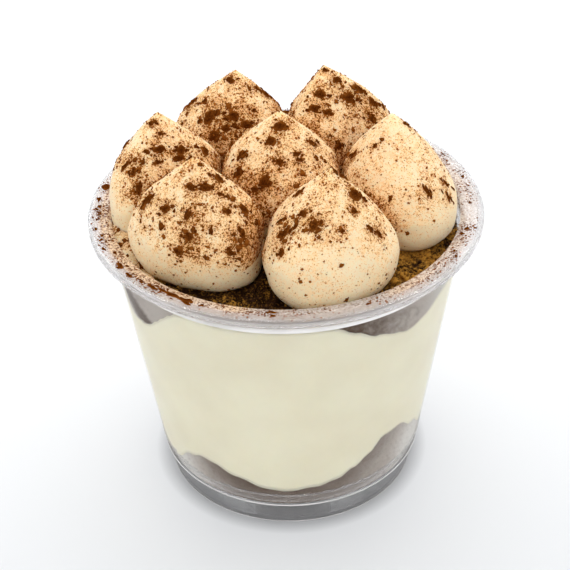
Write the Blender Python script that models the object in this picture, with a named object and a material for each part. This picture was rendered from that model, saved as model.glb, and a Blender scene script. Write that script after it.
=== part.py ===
"""A tiramisu in a clear plastic dessert cup.

The cup is one turned shell with a rolled rim and a raised floor. In it lie a soaked sponge, a thick
cream layer and a crumbled sponge on top, each a solid that runs through the cup and meets its wall.
Seven piped dollops of cream stand on the crumb, with clumps of cocoa fused to them, and a smear of
cream lies between two dollops and the wall. The origin is the middle of the foot, +Z is up and the
front, where the crumb shows widest at the right, faces -Y. Azimuths run from the front, positive
towards +X.
"""

import math
import random

import bmesh
import bpy
from mathutils import Vector

MM = 0.001
GAP = 0.3 * MM

# Cup
RIM_RADIUS = 47.5 * MM
WALL = 0.8 * MM
FOOT_RADIUS = 31.75 * MM
FOOT_WIDTH = 1.2 * MM
FLOOR_TOP = 7.2 * MM
FLOOR_STEP_RADIUS = 32.9 * MM
LOW_STEP_HEIGHT = 11.0 * MM
LOW_STEP_RADIUS = 34.0 * MM
HIGH_STEP_HEIGHT = 68.0 * MM
HIGH_STEP_RADIUS = 42.6 * MM
STEP_OUT = 0.5 * MM
RIM_UNDERSIDE = 71.9 * MM
RIM_TOP = 74.4 * MM
MOUTH_RADIUS = 41.8 * MM
MOUTH_DROP = 0.3 * MM
LIP_RADIUS = 1.25 * MM
LIP_CURL = (-80, 90)
CUP_SIDES = 48

# Layers
BASE_LEVEL = 12.6 * MM
BASE_MIDDLE = 16.5 * MM
CREAM_LEVEL = 68.1 * MM
CREAM_MIDDLE = 60.0 * MM
CREAM_HIGHEST = 67.9 * MM
CRUMB_LEVEL = 69.2 * MM
CRUMB_RELIEF = 1.1 * MM
CRUMB_MEAN = 0.3
CRUMB_CLEARANCE = 1.0 * MM
CRUMB_SLOPE = 2.5 * MM
CRUMB_EDGE = 0.88
# Two crossing ripples of the crumb: waves round the cup, and radians from the middle to the wall
CRUMB_RIPPLES = ((11, 9), (7, -17))
# Where each layer's rings of points lie, as shares of the way from the middle to the wall
LAYER_RINGS = (0.3, 0.55, 0.75, 0.88)
CRUMB_RINGS = (0.25, 0.45, 0.6, 0.7, 0.79, 0.87, 0.94)

# Where a layer's edge swells or dips along the wall: azimuth, rise, half width
BASE_WAVES = (
    (-65, -3.0 * MM, 10), (-37, 6.2 * MM, 15), (43, 13.0 * MM, 17),
    (108, 8.0 * MM, 20), (168, 11.0 * MM, 22), (-120, 9.0 * MM, 22),
)
CREAM_WAVES = (
    (-60, -12.5 * MM, 20), (44, -10.6 * MM, 22),
    (112, -8.0 * MM, 20), (176, -9.0 * MM, 24), (-118, -7.0 * MM, 20),
)
CRUMB_DROP = ((82, -4.5 * MM, 24),)

# Dollops: place, widest radius, height, lean of the tip, and how far the outline departs from round
# as two lobes and three lobes, each a share of the radius at the azimuths 0 and a quarter lobe on
DOLLOPS = {
    "dollop_front_left": ((-19.8, -16.8), 14.9, 28.5, (-0.3, 0.3), (0.12, -0.14), (0.01, 0.0)),
    "dollop_front_right": ((8.8, -24.3), 15.3, 29.0, (1.3, 0.7), (0.02, 0.0), (0.06, 0.0)),
    "dollop_centre": ((-0.9, 1.5), 16.0, 29.4, (0.0, 0.5), (0.07, -0.04), (0.0, 0.04)),
    "dollop_left": ((-28.8, 4.3), 15.5, 28.4, (-0.7, 0.2), (0.0, 0.05), (0.07, -0.02)),
    "dollop_right": ((26.8, 0.5), 15.7, 28.6, (-1.7, 0.5), (-0.11, -0.06), (-0.02, -0.02)),
    "dollop_back_left": ((-12.4, 25.4), 15.7, 28.0, (0.9, 0.0), (0.03, -0.06), (-0.01, 0.02)),
    "dollop_back_right": ((12.4, 25.4), 15.3, 28.6, (-2.3, 0.2), (-0.03, 0.16), (0.09, 0.02)),
}
DOLLOP_BASE = CRUMB_LEVEL + GAP
DOLLOP_STATIONS = (0.0, 0.05, 0.14, 0.28, 0.41, 0.53, 0.65, 0.76, 0.86, 0.94)
DOLLOP_SIDES = 26
WIDEST_AT = 0.28
UNDERCUT = 0.08
UNDERCUT_POWER = 2.2
SHOULDER_POWER = 1.4
SQUEEZE_POWER = 14
# A neighbour that lies further to the side than this, as a cosine, doesn't stop the face
SIDELONG = 0.05

# Smear of cream on the crumb at the left, along the wall
SMEAR_AZIMUTHS = (-80.0, -40.0)
SMEAR_WIDTH = 8.0 * MM
SMEAR_HEIGHT = 2.4 * MM
SMEAR_FOOT = CRUMB_LEVEL + CRUMB_RELIEF + GAP
SMEAR_STATIONS = 12
SMEAR_SIDES = 10

# Cocoa clumps fused to each dollop
CLUMPS = 7
CLUMP_WIDTH = (2.4 * MM, 4.0 * MM)
CLUMP_NARROWING = 0.75
CLUMP_UNEVEN = (0.8, 1.15)
CLUMP_THICKNESS = 1.5 * MM
CLUMP_ZONE = (0.36, 0.84)
CLUMP_STRIDE = 0.37
CLUMP_CLEARANCE = 1.6 * MM
CLUMP_SEED = 7
GOLDEN_TURN = math.pi * (3 - math.sqrt(5))

# Angles between faces, in degrees, past which an edge is shaded sharp
SHARP_CUP = 25
SHARP_LAYER = 50
SHARP_CREAM = 60

# Finishes: colour, roughness, transmission
FINISHES = {
    "clear_plastic": ((0.93, 0.94, 0.95), 0.05, 0.9),
    "coffee_sponge": ((0.30, 0.20, 0.13), 0.85, 0.0),
    "coffee_crumb": ((0.22, 0.11, 0.05), 0.95, 0.0),
    "cream": ((0.78, 0.70, 0.55), 0.45, 0.0),
    "piped_cream": ((0.80, 0.66, 0.45), 0.5, 0.0),
}


def clear_scene():
    for old in list(bpy.data.objects):
        bpy.data.objects.remove(old)


def finish(name):
    """The named material, made once and shared by the pieces that have it."""
    known = bpy.data.materials.get(name)
    if known:
        return known
    colour, roughness, transmission = FINISHES[name]
    material = bpy.data.materials.new(name)
    material.use_nodes = True
    shader = material.node_tree.nodes["Principled BSDF"]
    shader.inputs["Base Color"].default_value = (*colour, 1.0)
    shader.inputs["Roughness"].default_value = roughness
    shader.inputs["Metallic"].default_value = 0.0
    shader.inputs["Transmission Weight"].default_value = transmission
    return material


def new_piece(name, shape, material, sharp_degrees):
    """An object of this bmesh, closed, facing out and shaded smooth."""
    bmesh.ops.recalc_face_normals(shape, faces=shape.faces)
    mesh = bpy.data.meshes.new(name)
    shape.to_mesh(mesh)
    shape.free()
    mesh.shade_smooth()
    mesh.set_sharp_from_angle(angle=math.radians(sharp_degrees))
    mesh.materials.append(finish(material))
    piece = bpy.data.objects.new(name, mesh)
    bpy.context.scene.collection.objects.link(piece)
    return piece


def heading(azimuth):
    """The unit vector at this azimuth in radians, from the front and positive towards +X."""
    return Vector((math.sin(azimuth), -math.cos(azimuth), 0.0))


def arc(centre, radius, start, stop, steps):
    """Points along a round corner of a turned outline, from one angle in degrees to another."""
    turns = [math.radians(start + (stop - start) * i / steps) for i in range(steps + 1)]
    return [(centre[0] + radius * math.cos(t), centre[1] + radius * math.sin(t)) for t in turns]


def wall_radius(height):
    """Outer radius of the straight tapered wall."""
    share = (height - LOW_STEP_HEIGHT) / (HIGH_STEP_HEIGHT - LOW_STEP_HEIGHT)
    return LOW_STEP_RADIUS + share * (HIGH_STEP_RADIUS - LOW_STEP_RADIUS)


def room_radius(height):
    """Largest radius of what fills the cup, a gap inside its wall."""
    inner_step = FLOOR_STEP_RADIUS - WALL
    if height < LOW_STEP_HEIGHT:
        return inner_step - GAP
    return wall_radius(min(height, HIGH_STEP_HEIGHT)) - WALL - GAP


def cup_outline():
    """The cup's section, from the middle of the floor's underside round the rim to its top side."""
    lip_middle = (RIM_RADIUS - LIP_RADIUS, RIM_TOP - LIP_RADIUS)
    neck = HIGH_STEP_RADIUS + STEP_OUT - WALL
    under = [
        (0.0, FLOOR_TOP - WALL),
        (FOOT_RADIUS - FOOT_WIDTH, FLOOR_TOP - WALL),
        (FOOT_RADIUS - FOOT_WIDTH, 0.0),
        (FOOT_RADIUS, 0.0),
        (FLOOR_STEP_RADIUS, FLOOR_TOP - WALL / 2),
        (FLOOR_STEP_RADIUS + STEP_OUT, FLOOR_TOP),
        (LOW_STEP_RADIUS - STEP_OUT, LOW_STEP_HEIGHT - WALL / 2),
        (LOW_STEP_RADIUS, LOW_STEP_HEIGHT),
        (HIGH_STEP_RADIUS, HIGH_STEP_HEIGHT),
        (HIGH_STEP_RADIUS + STEP_OUT, HIGH_STEP_HEIGHT + WALL / 2),
        (HIGH_STEP_RADIUS + 2 * STEP_OUT, RIM_UNDERSIDE),
    ]
    over = [
        (neck + STEP_OUT, RIM_TOP),
        (MOUTH_RADIUS, RIM_TOP - MOUTH_DROP),
        (MOUTH_RADIUS, RIM_TOP - WALL),
        (neck, RIM_TOP - 2 * WALL),
        (neck, HIGH_STEP_HEIGHT + WALL),
        (HIGH_STEP_RADIUS - WALL, HIGH_STEP_HEIGHT + WALL / 2),
        (LOW_STEP_RADIUS - WALL, LOW_STEP_HEIGHT),
        (FLOOR_STEP_RADIUS - WALL, LOW_STEP_HEIGHT - WALL),
        (FLOOR_STEP_RADIUS - WALL, FLOOR_TOP),
        (0.0, FLOOR_TOP),
    ]
    return under + arc(lip_middle, LIP_RADIUS, *LIP_CURL, 4) + over


def make_cup():
    shape = bmesh.new()
    points = [shape.verts.new((0.0, -radius, height)) for radius, height in cup_outline()]
    edges = [shape.edges.new(pair) for pair in zip(points, points[1:])]
    bmesh.ops.spin(
        shape, geom=points + edges, cent=(0, 0, 0), axis=(0, 0, 1), dvec=(0, 0, 0),
        angle=math.tau, steps=CUP_SIDES, use_merge=True,
    )
    bmesh.ops.remove_doubles(shape, verts=shape.verts, dist=0.01 * MM)
    new_piece("cup", shape, "clear_plastic", SHARP_CUP)


def split_face(shape, corners):
    """Two triangles, parted along the shorter diagonal, so that two layers' faces split alike."""
    a, b, c, d = corners
    if (a.co - c.co).length > (b.co - d.co).length:
        a, b, c, d = b, c, d, a
    shape.faces.new((a, b, c))
    shape.faces.new((a, c, d))


def skin(shape, rings, low_end, high_end):
    """Closes a stack of equal rings of points, listed from the bottom up, with a point at each end."""
    loops = [[shape.verts.new(point) for point in ring] for ring in rings]
    count = len(loops[0])
    for lower, upper in zip(loops, loops[1:]):
        for i in range(count):
            corners = (lower[i], lower[(i + 1) % count], upper[(i + 1) % count], upper[i])
            split_face(shape, corners)
    for loop, end in ((loops[0], low_end), (loops[-1], high_end)):
        tip = shape.verts.new(end)
        for i in range(count):
            shape.faces.new((loop[i], loop[(i + 1) % count], tip))


def waves(azimuth, hills):
    """Sum of soft hills along the wall, each given as azimuth and half width in degrees."""
    total = 0.0
    for middle, rise, half_width in hills:
        away = (math.degrees(azimuth) - middle + 180) % 360 - 180
        total += rise * math.exp(-((away / half_width) ** 2))
    return total


def base_top(azimuth, share):
    """Upper face of the lower sponge, at this share of the way from the middle to the wall."""
    edge = BASE_LEVEL + waves(azimuth, BASE_WAVES)
    return BASE_MIDDLE + (edge - BASE_MIDDLE) * share**3


def cream_top(azimuth, share):
    """Upper face of the cream layer, which climbs the wall at the front."""
    edge = min(CREAM_LEVEL + waves(azimuth, CREAM_WAVES), CREAM_HIGHEST)
    return CREAM_MIDDLE + (edge - CREAM_MIDDLE) * share**4


def crumb_top(azimuth, share):
    """Top of the crumb: level under the dollops, and broken up where it shows between them."""
    place = heading(azimuth) * room_radius(CRUMB_LEVEL) * share
    clear = min(beside(name, place) for name in DOLLOPS)
    shows = min(max((clear - CRUMB_CLEARANCE) / CRUMB_SLOPE, 0.0), 1.0)
    rough = math.prod(math.sin(turns * azimuth + out * share) for turns, out in CRUMB_RIPPLES)
    edge = min(max((share - CRUMB_EDGE) / (1.0 - CRUMB_EDGE), 0.0), 1.0)
    relief = CRUMB_RELIEF * (CRUMB_MEAN + (1.0 - CRUMB_MEAN) * rough) * shows
    return CRUMB_LEVEL + relief + waves(azimuth, CRUMB_DROP) * edge


def make_layer(name, bottom, top, material, side_rings, top_rings):
    """A layer from just over one face to another, each a function of azimuth and share of the radius."""
    azimuths = [math.tau * i / CUP_SIDES for i in range(CUP_SIDES)]

    def ring(face, share, lift):
        points = []
        for azimuth in azimuths:
            height = face(azimuth, share)
            reach = room_radius(height) * share
            points.append(heading(azimuth) * reach + Vector((0, 0, height + lift)))
        return points

    under = [ring(bottom, share, GAP) for share in (*LAYER_RINGS, 1.0)]
    sides = [[heading(a) * room_radius(z) + Vector((0, 0, z)) for a in azimuths] for z in side_rings]
    over = [ring(top, share, 0.0) for share in (1.0, *reversed(top_rings))]
    shape = bmesh.new()
    low_end = (0, 0, bottom(0.0, 0.0) + GAP)
    skin(shape, [*under, *sides, *over], low_end, (0, 0, top(0.0, 0.0)))
    new_piece(name, shape, material, SHARP_LAYER)


def make_layers():
    def floor(azimuth, share):
        return FLOOR_TOP

    make_layer("base_sponge", floor, base_top, "coffee_sponge", (LOW_STEP_HEIGHT - WALL,), LAYER_RINGS)
    make_layer("cream_layer", base_top, cream_top, "cream", (), LAYER_RINGS)
    make_layer("top_sponge", cream_top, crumb_top, "coffee_crumb", (), CRUMB_RINGS)


def middle(name):
    """Where the dollop stands, on the plane of its base."""
    x, y = DOLLOPS[name][0]
    return Vector((x * MM, y * MM, 0.0))


def widest(name):
    return DOLLOPS[name][1] * MM


def outline(name, turn):
    """Radius of the dollop's outline where it is widest, in this direction from its middle."""
    two_lobes, three_lobes = DOLLOPS[name][4:]
    lobes = two_lobes[0] * math.cos(2 * turn) + two_lobes[1] * math.sin(2 * turn)
    lobes += three_lobes[0] * math.cos(3 * turn) + three_lobes[1] * math.sin(3 * turn)
    return widest(name) * (1.0 + lobes)


def beside(name, place):
    """How far outside the dollop's outline this place is, less than nothing under the dollop."""
    across = place - middle(name)
    return across.length - outline(name, math.atan2(across.y, across.x))


def dollop_share(station):
    """Radius of a dollop at this share of its height, as a share of its widest radius."""
    if station < WIDEST_AT:
        return 1.0 - UNDERCUT * ((WIDEST_AT - station) / WIDEST_AT) ** UNDERCUT_POWER
    return 1.0 - ((station - WIDEST_AT) / (1.0 - WIDEST_AT)) ** SHOULDER_POWER


def wall_limit(place, toward):
    """How far from this place the cup's wall is in that direction."""
    along = place.dot(toward)
    return -along + math.sqrt(along**2 - place.length_squared + room_radius(HIGH_STEP_HEIGHT) ** 2)


def neighbour_limits(name, place, toward):
    """How far from this place the planes that part the dollop from its neighbours are."""
    for other in DOLLOPS:
        across = middle(other) - middle(name)
        if other == name or across.normalized().dot(toward) < SIDELONG:
            continue
        apart = across.length
        share = (apart**2 + widest(name) ** 2 - widest(other) ** 2) / (2 * apart)
        reach = share - GAP / 2 - (place - middle(name)).dot(across.normalized())
        yield reach / across.normalized().dot(toward)


def dollop_point(name, station, turn):
    """A point of the dollop's face, pressed in where a neighbour or the wall stops it."""
    height, lean = DOLLOPS[name][2:4]
    place = middle(name) + Vector((lean[0], lean[1], 0.0)) * MM * station**2
    free = outline(name, turn) * dollop_share(station)
    toward = Vector((math.cos(turn), math.sin(turn), 0.0))
    limits = [wall_limit(place, toward), *neighbour_limits(name, place, toward)]
    squeezed = sum((free / limit) ** SQUEEZE_POWER for limit in limits)
    reach = free * (1.0 + squeezed) ** (-1.0 / SQUEEZE_POWER)
    return place + toward * reach + Vector((0, 0, DOLLOP_BASE + height * MM * station))


def clump(rng, place, outward):
    """A flat uneven lump of cocoa, half sunk in the cream."""
    shape = bmesh.new()
    bmesh.ops.create_icosphere(shape, subdivisions=1, radius=0.5)
    for vert in shape.verts:
        vert.co *= rng.uniform(*CLUMP_UNEVEN)
    width = rng.uniform(*CLUMP_WIDTH)
    bmesh.ops.scale(shape, verts=shape.verts, vec=(width, width * CLUMP_NARROWING, CLUMP_THICKNESS))
    mesh = bpy.data.meshes.new("clump")
    shape.to_mesh(mesh)
    shape.free()
    mesh.materials.append(finish("piped_cream"))
    lump = bpy.data.objects.new("clump", mesh)
    lump.rotation_euler = outward.to_track_quat("Z", "Y").to_euler()
    lump.rotation_euler.rotate_axis("Z", rng.uniform(0, math.tau))
    lump.location = place
    return lump


def clump_spots(name, rng):
    """Places and outward directions of the clumps, kept clear of the planes to the neighbours."""
    spots = []
    turn = rng.uniform(0, math.tau)
    tries = 0
    while len(spots) < CLUMPS:
        tries += 1
        azimuth = turn + tries * GOLDEN_TURN
        station = CLUMP_ZONE[0] + (CLUMP_ZONE[1] - CLUMP_ZONE[0]) * ((tries * CLUMP_STRIDE) % 1.0)
        point = dollop_point(name, station, azimuth)
        step = 0.02
        along = dollop_point(name, station, azimuth + step) - point
        upward = dollop_point(name, station + step, azimuth) - point
        outward = along.cross(upward).normalized()
        level = Vector((point.x, point.y, 0.0))
        toward = Vector((math.cos(azimuth), math.sin(azimuth), 0.0))
        nearest = min(neighbour_limits(name, level, toward), default=math.inf)
        if nearest > CLUMP_CLEARANCE and wall_limit(level, toward) > CLUMP_CLEARANCE:
            spots.append((point, outward))
    return spots


def fuse(piece, lumps):
    """Joins the lumps to the piece with one Boolean union, applied to its mesh."""
    group = bpy.data.collections.new("lumps")
    bpy.context.scene.collection.children.link(group)
    for lump in lumps:
        group.objects.link(lump)
    join = piece.modifiers.new("join", "BOOLEAN")
    join.operation = "UNION"
    join.operand_type = "COLLECTION"
    join.collection = group
    join.solver = "EXACT"
    bpy.context.view_layer.update()
    joined = bpy.data.meshes.new_from_object(piece.evaluated_get(bpy.context.evaluated_depsgraph_get()))
    piece.modifiers.remove(join)
    piece.data = joined
    for lump in lumps:
        bpy.data.objects.remove(lump)
    bpy.data.collections.remove(group)


def make_dollops():
    rng = random.Random(CLUMP_SEED)
    for name, (_, _, height, lean, _, _) in DOLLOPS.items():
        turns = [math.tau * i / DOLLOP_SIDES for i in range(DOLLOP_SIDES)]
        rings = [[dollop_point(name, station, turn) for turn in turns] for station in DOLLOP_STATIONS]
        tip = middle(name) + Vector((lean[0] * MM, lean[1] * MM, DOLLOP_BASE + height * MM))
        shape = bmesh.new()
        skin(shape, rings, middle(name) + Vector((0, 0, DOLLOP_BASE)), tip)
        piece = new_piece(name, shape, "piped_cream", SHARP_CREAM)
        fuse(piece, [clump(rng, place, outward) for place, outward in clump_spots(name, rng)])


def smear_reach(azimuth):
    """Where the smear starts in from the wall: under a dollop's belly, or at its full width."""
    outer = room_radius(SMEAR_FOOT)
    inner = outer
    step = 0.2 * MM
    while inner > outer - SMEAR_WIDTH:
        place = heading(azimuth) * (inner - step)
        if min(beside(name, place) for name in DOLLOPS) < 0.0:
            break
        inner -= step
    return inner, outer


def make_smear():
    """The smear of cream along the wall, flat below and crowned above, tapering to both ends."""
    start, stop = (math.radians(azimuth) for azimuth in SMEAR_AZIMUTHS)
    rings = []
    for i in range(1, SMEAR_STATIONS):
        azimuth = start + (stop - start) * i / SMEAR_STATIONS
        swell = math.sqrt(math.sin(math.pi * i / SMEAR_STATIONS))
        inner, outer = smear_reach(azimuth)
        inner = outer - (outer - inner) * swell
        ring = []
        for k in range(SMEAR_SIDES):
            turn = math.pi * k / (SMEAR_SIDES - 1)
            reach = (inner + outer) / 2 + math.cos(turn) * (outer - inner) / 2
            height = SMEAR_FOOT + SMEAR_HEIGHT * swell * math.sin(turn)
            ring.append(heading(azimuth) * reach + Vector((0, 0, height)))
        rings.append(ring)
    ends = []
    for azimuth in (start, stop):
        ends.append(heading(azimuth) * (room_radius(SMEAR_FOOT) - GAP) + Vector((0, 0, SMEAR_FOOT)))
    shape = bmesh.new()
    skin(shape, rings, *ends)
    new_piece("cream_smear", shape, "cream", SHARP_CREAM)


def main():
    clear_scene()
    make_cup()
    make_layers()
    make_dollops()
    make_smear()


main()
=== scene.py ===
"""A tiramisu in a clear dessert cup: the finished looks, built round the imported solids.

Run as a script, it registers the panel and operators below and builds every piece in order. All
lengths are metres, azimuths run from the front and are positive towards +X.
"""

import math
import random

import bmesh
import bpy
import numpy as np
from mathutils import Matrix, Vector, noise
from mathutils.bvhtree import BVHTree


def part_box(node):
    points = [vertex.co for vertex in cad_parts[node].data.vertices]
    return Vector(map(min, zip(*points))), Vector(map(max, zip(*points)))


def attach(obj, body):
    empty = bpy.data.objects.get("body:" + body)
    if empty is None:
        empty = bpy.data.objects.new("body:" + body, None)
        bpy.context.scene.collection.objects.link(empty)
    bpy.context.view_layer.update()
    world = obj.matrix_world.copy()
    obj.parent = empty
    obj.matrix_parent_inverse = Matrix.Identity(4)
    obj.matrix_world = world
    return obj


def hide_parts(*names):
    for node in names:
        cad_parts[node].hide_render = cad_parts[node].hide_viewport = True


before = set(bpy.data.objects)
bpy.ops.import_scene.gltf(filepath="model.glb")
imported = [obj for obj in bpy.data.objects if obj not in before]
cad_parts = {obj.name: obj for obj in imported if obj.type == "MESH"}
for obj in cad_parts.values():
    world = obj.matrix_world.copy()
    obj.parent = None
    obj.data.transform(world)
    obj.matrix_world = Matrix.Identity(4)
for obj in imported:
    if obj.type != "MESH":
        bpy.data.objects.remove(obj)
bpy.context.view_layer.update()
CUP_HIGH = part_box("cup")[1]

bl_info = {
    "name": "Tiramisu in a dessert cup",
    "version": (1, 0, 0),
    "blender": (4, 5, 0),
    "location": "View3D > Sidebar > Tiramisu",
    "description": "Builds a tiramisu of piped cream and soaked sponge in a clear cup",
    "category": "Add Mesh",
}

MM = 0.001
BODY = "root"

# Cup section that the solid gives
FLOOR_TOP = 7.2 * MM
LOW_STEP_HEIGHT = 11.0 * MM
LOW_STEP_RADIUS = 34.0 * MM
FLOOR_STEP_RADIUS = 32.9 * MM
FOOT_RADIUS = 31.75 * MM
HIGH_STEP_HEIGHT = 68.0 * MM
HIGH_STEP_RADIUS = 42.6 * MM
STEP_OUT = 0.5 * MM
# Painted highlights: white lines on the sharp folds of the outer face, where they would catch the light:
# least radius, height, half height, strength of the painted highlight
FOLD_HIGHLIGHTS = (
    (42.7 * MM, 68.25 * MM, 0.4 * MM, 0.9), (33.55 * MM, 10.8 * MM, 0.12 * MM, 0.3),
    (33.0 * MM, 7.15 * MM, 0.25 * MM, 0.6), (31.4 * MM, 0.25 * MM, 0.22 * MM, 0.85),
)
RIM_UNDERSIDE = 71.9 * MM
MOUTH_RADIUS = 41.8 * MM
CAD_WALL = 0.8 * MM
# Where the cocoa on the rim ends towards its outer edge
DUST_END = 46.8 * MM
# Degrees to either side of the front where no grain clings to the wall above the crumb
BARE_FRONT = 52
# How far a layer reaches under the one above it, and how far a sponge stays behind the cream
TUCK = 0.8 * MM
SPONGE_INSET = 0.06 * MM
LAYER_SIDES = 192

# Height of a layer's edge along the wall, as azimuth in degrees and millimetres, once round
BASE_EDGE = (
    (-180, 21.5), (-160, 16.0), (-140, 17.0), (-120, 21.6), (-100, 16.5), (-80, 11.6), (-66, 10.0),
    (-58.7, 11.1), (-46, 16.5), (-40, 18.3), (-33, 18.2), (-24, 15.7), (-9, 12.9), (0, 12.7),
    (10, 13.7), (19, 15.1), (26, 17.5), (32, 20.7), (39, 24.5), (47, 25.0), (59, 20.6), (72, 15.4),
    (86, 15.8), (108, 20.6), (126, 16.2), (144, 16.6), (168, 23.4), (180, 21.5),
)
CREAM_EDGE = (
    (-180, 59.8), (-160, 63.0), (-142, 67.0), (-118, 61.4), (-100, 64.0), (-84, 65.4), (-76, 65.0),
    (-71, 61.5), (-67, 56.8), (-62, 55.8), (-56.5, 56.6), (-52, 58.3), (-48.5, 60.4), (-43, 63.8),
    (-40.5, 65.8), (-37, 67.5), (-33, 67.9), (8, 67.9), (14, 67.6), (17, 66.6), (20, 64.9),
    (29.5, 61.8), (36, 60.1), (42, 58.3), (50, 59.9), (59, 63.2), (72, 64.4), (88, 62.6),
    (112, 60.4), (134, 66.0), (156, 62.5), (176, 59.6), (180, 59.8),
)
# Where the crumb sinks below its level at the wall, and the share of the way out where that begins
CRUMB_DROP = ((82, -4.5 * MM, 24),)
CRUMB_EDGE = 0.88

# Paler where a film of cream lies on the plastic and darker where coffee soaked to it; the palest hills
# at the sides of the base sponge are also painted reflection of light on the plastic:
# azimuth, change of tone, half width in degrees
BASE_FILM_AND_REFLECTION = ((-56, 1.5, 15), (-20, -0.3, 20), (12, -0.2, 16), (62, 1.4, 14), (130, 0.3, 20))
TOP_FILM = ((-46, 0.35, 8), (18, -0.8, 9), (30, -0.3, 5), (66, 1.1, 15))
# The streak in the left wedge: azimuth at this height, degrees to the right for each millimetre down
STREAK_HEIGHT = 65 * MM
STREAK_AZIMUTH = -71.5
STREAK_LEAN = 2.2
STREAK_HALF_WIDTH = 6.5
RIM_DUST = ((-80, 0.5, 36), (-24, 0.3, 24), (60, 0.12, 30), (110, 0.12, 30), (180, 0.5, 26))
# Crumb tone round the wall: azimuth, change of tone, half width; the dark front hill is painted shade
# under the dollops
CRUMB_TONE_AND_SHADE = ((-70, 0.1, 20), (-14, -0.65, 34), (60, 0.12, 22), (92, -0.3, 12))

# Dollops as in the solids: place, widest radius, height, lean of the tip, two lobes, three lobes
DOLLOPS = {
    "front_left": ((-19.8, -16.8), 14.9, 28.5, (-0.3, 0.3), (0.12, -0.14), (0.01, 0.0)),
    "front_right": ((8.8, -24.3), 15.3, 29.0, (1.3, 0.7), (0.02, 0.0), (0.06, 0.0)),
    "centre": ((-0.9, 1.5), 16.0, 29.4, (0.0, 0.5), (0.07, -0.04), (0.0, 0.04)),
    "left": ((-28.8, 4.3), 15.5, 28.4, (-0.7, 0.2), (0.0, 0.05), (0.07, -0.02)),
    "right": ((26.8, 0.5), 15.7, 28.6, (-1.7, 0.5), (-0.11, -0.06), (-0.02, -0.02)),
    "back_left": ((-12.4, 25.4), 15.7, 28.0, (0.9, 0.0), (0.03, -0.06), (-0.01, 0.02)),
    "back_right": ((12.4, 25.4), 15.3, 28.6, (-2.3, 0.2), (-0.03, 0.16), (0.09, 0.02)),
}
# How heavily each dollop is dusted, the share of its height where that begins, the share over which
# it fades in, and the least dust below
DUSTING = {
    "front_left": (0.74, -0.1, 0.66, 0.3),
    "front_right": (0.66, 0.08, 0.62, 0.3),
    "centre": (0.74, -0.2, 0.3, 0.3),
    "left": (0.72, 0.08, 0.5, 0.16),
    "right": (0.6, 0.06, 0.5, 0.16),
    "back_left": (0.78, -0.2, 0.3, 0.3),
    "back_right": (0.72, -0.2, 0.3, 0.3),
}

# Cocoa gathers where two dollops meet, and the valley is darkened further as painted shade: how far
# along and across that valley, how high it begins over the dollop's base, and how much dust and
# painted shade it adds
VALLEY_HALF_LENGTH = 11 * MM
VALLEY_REACH = 3.2 * MM
VALLEY_BOTTOM = 6.5 * MM
VALLEY_DUST_AND_SHADE = 1.2

# Where the dust lies thicker than its slope alone would hold: direction in degrees from +X, share
# of the height, half width in millimetres, change of level
DUST_PATCHES = {
    "front_left": ((260, 0.3, 8.0, 0.4), (318, 0.42, 6.0, 0.25), (226, 0.4, 6.0, -0.3)),
    "front_right": ((205, 0.45, 5.5, 0.3), (336, 0.5, 5.0, 0.15), (268, 0.36, 6.0, -0.35)),
    "centre": ((232, 0.42, 6.0, 0.4), (300, 0.45, 5.0, 0.15)),
    "left": ((262, 0.45, 6.0, 0.25), (215, 0.4, 6.0, -0.3), (330, 0.45, 6.0, 0.3)),
    "right": ((210, 0.4, 7.0, 0.2), (300, 0.42, 6.0, 0.15), (240, 0.8, 5.0, -0.2)),
    "back_left": ((250, 0.5, 7.0, 0.6), (200, 0.5, 6.0, 0.3)),
    "back_right": ((270, 0.42, 7.0, 0.25), (320, 0.5, 6.0, 0.3)),
}

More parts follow.
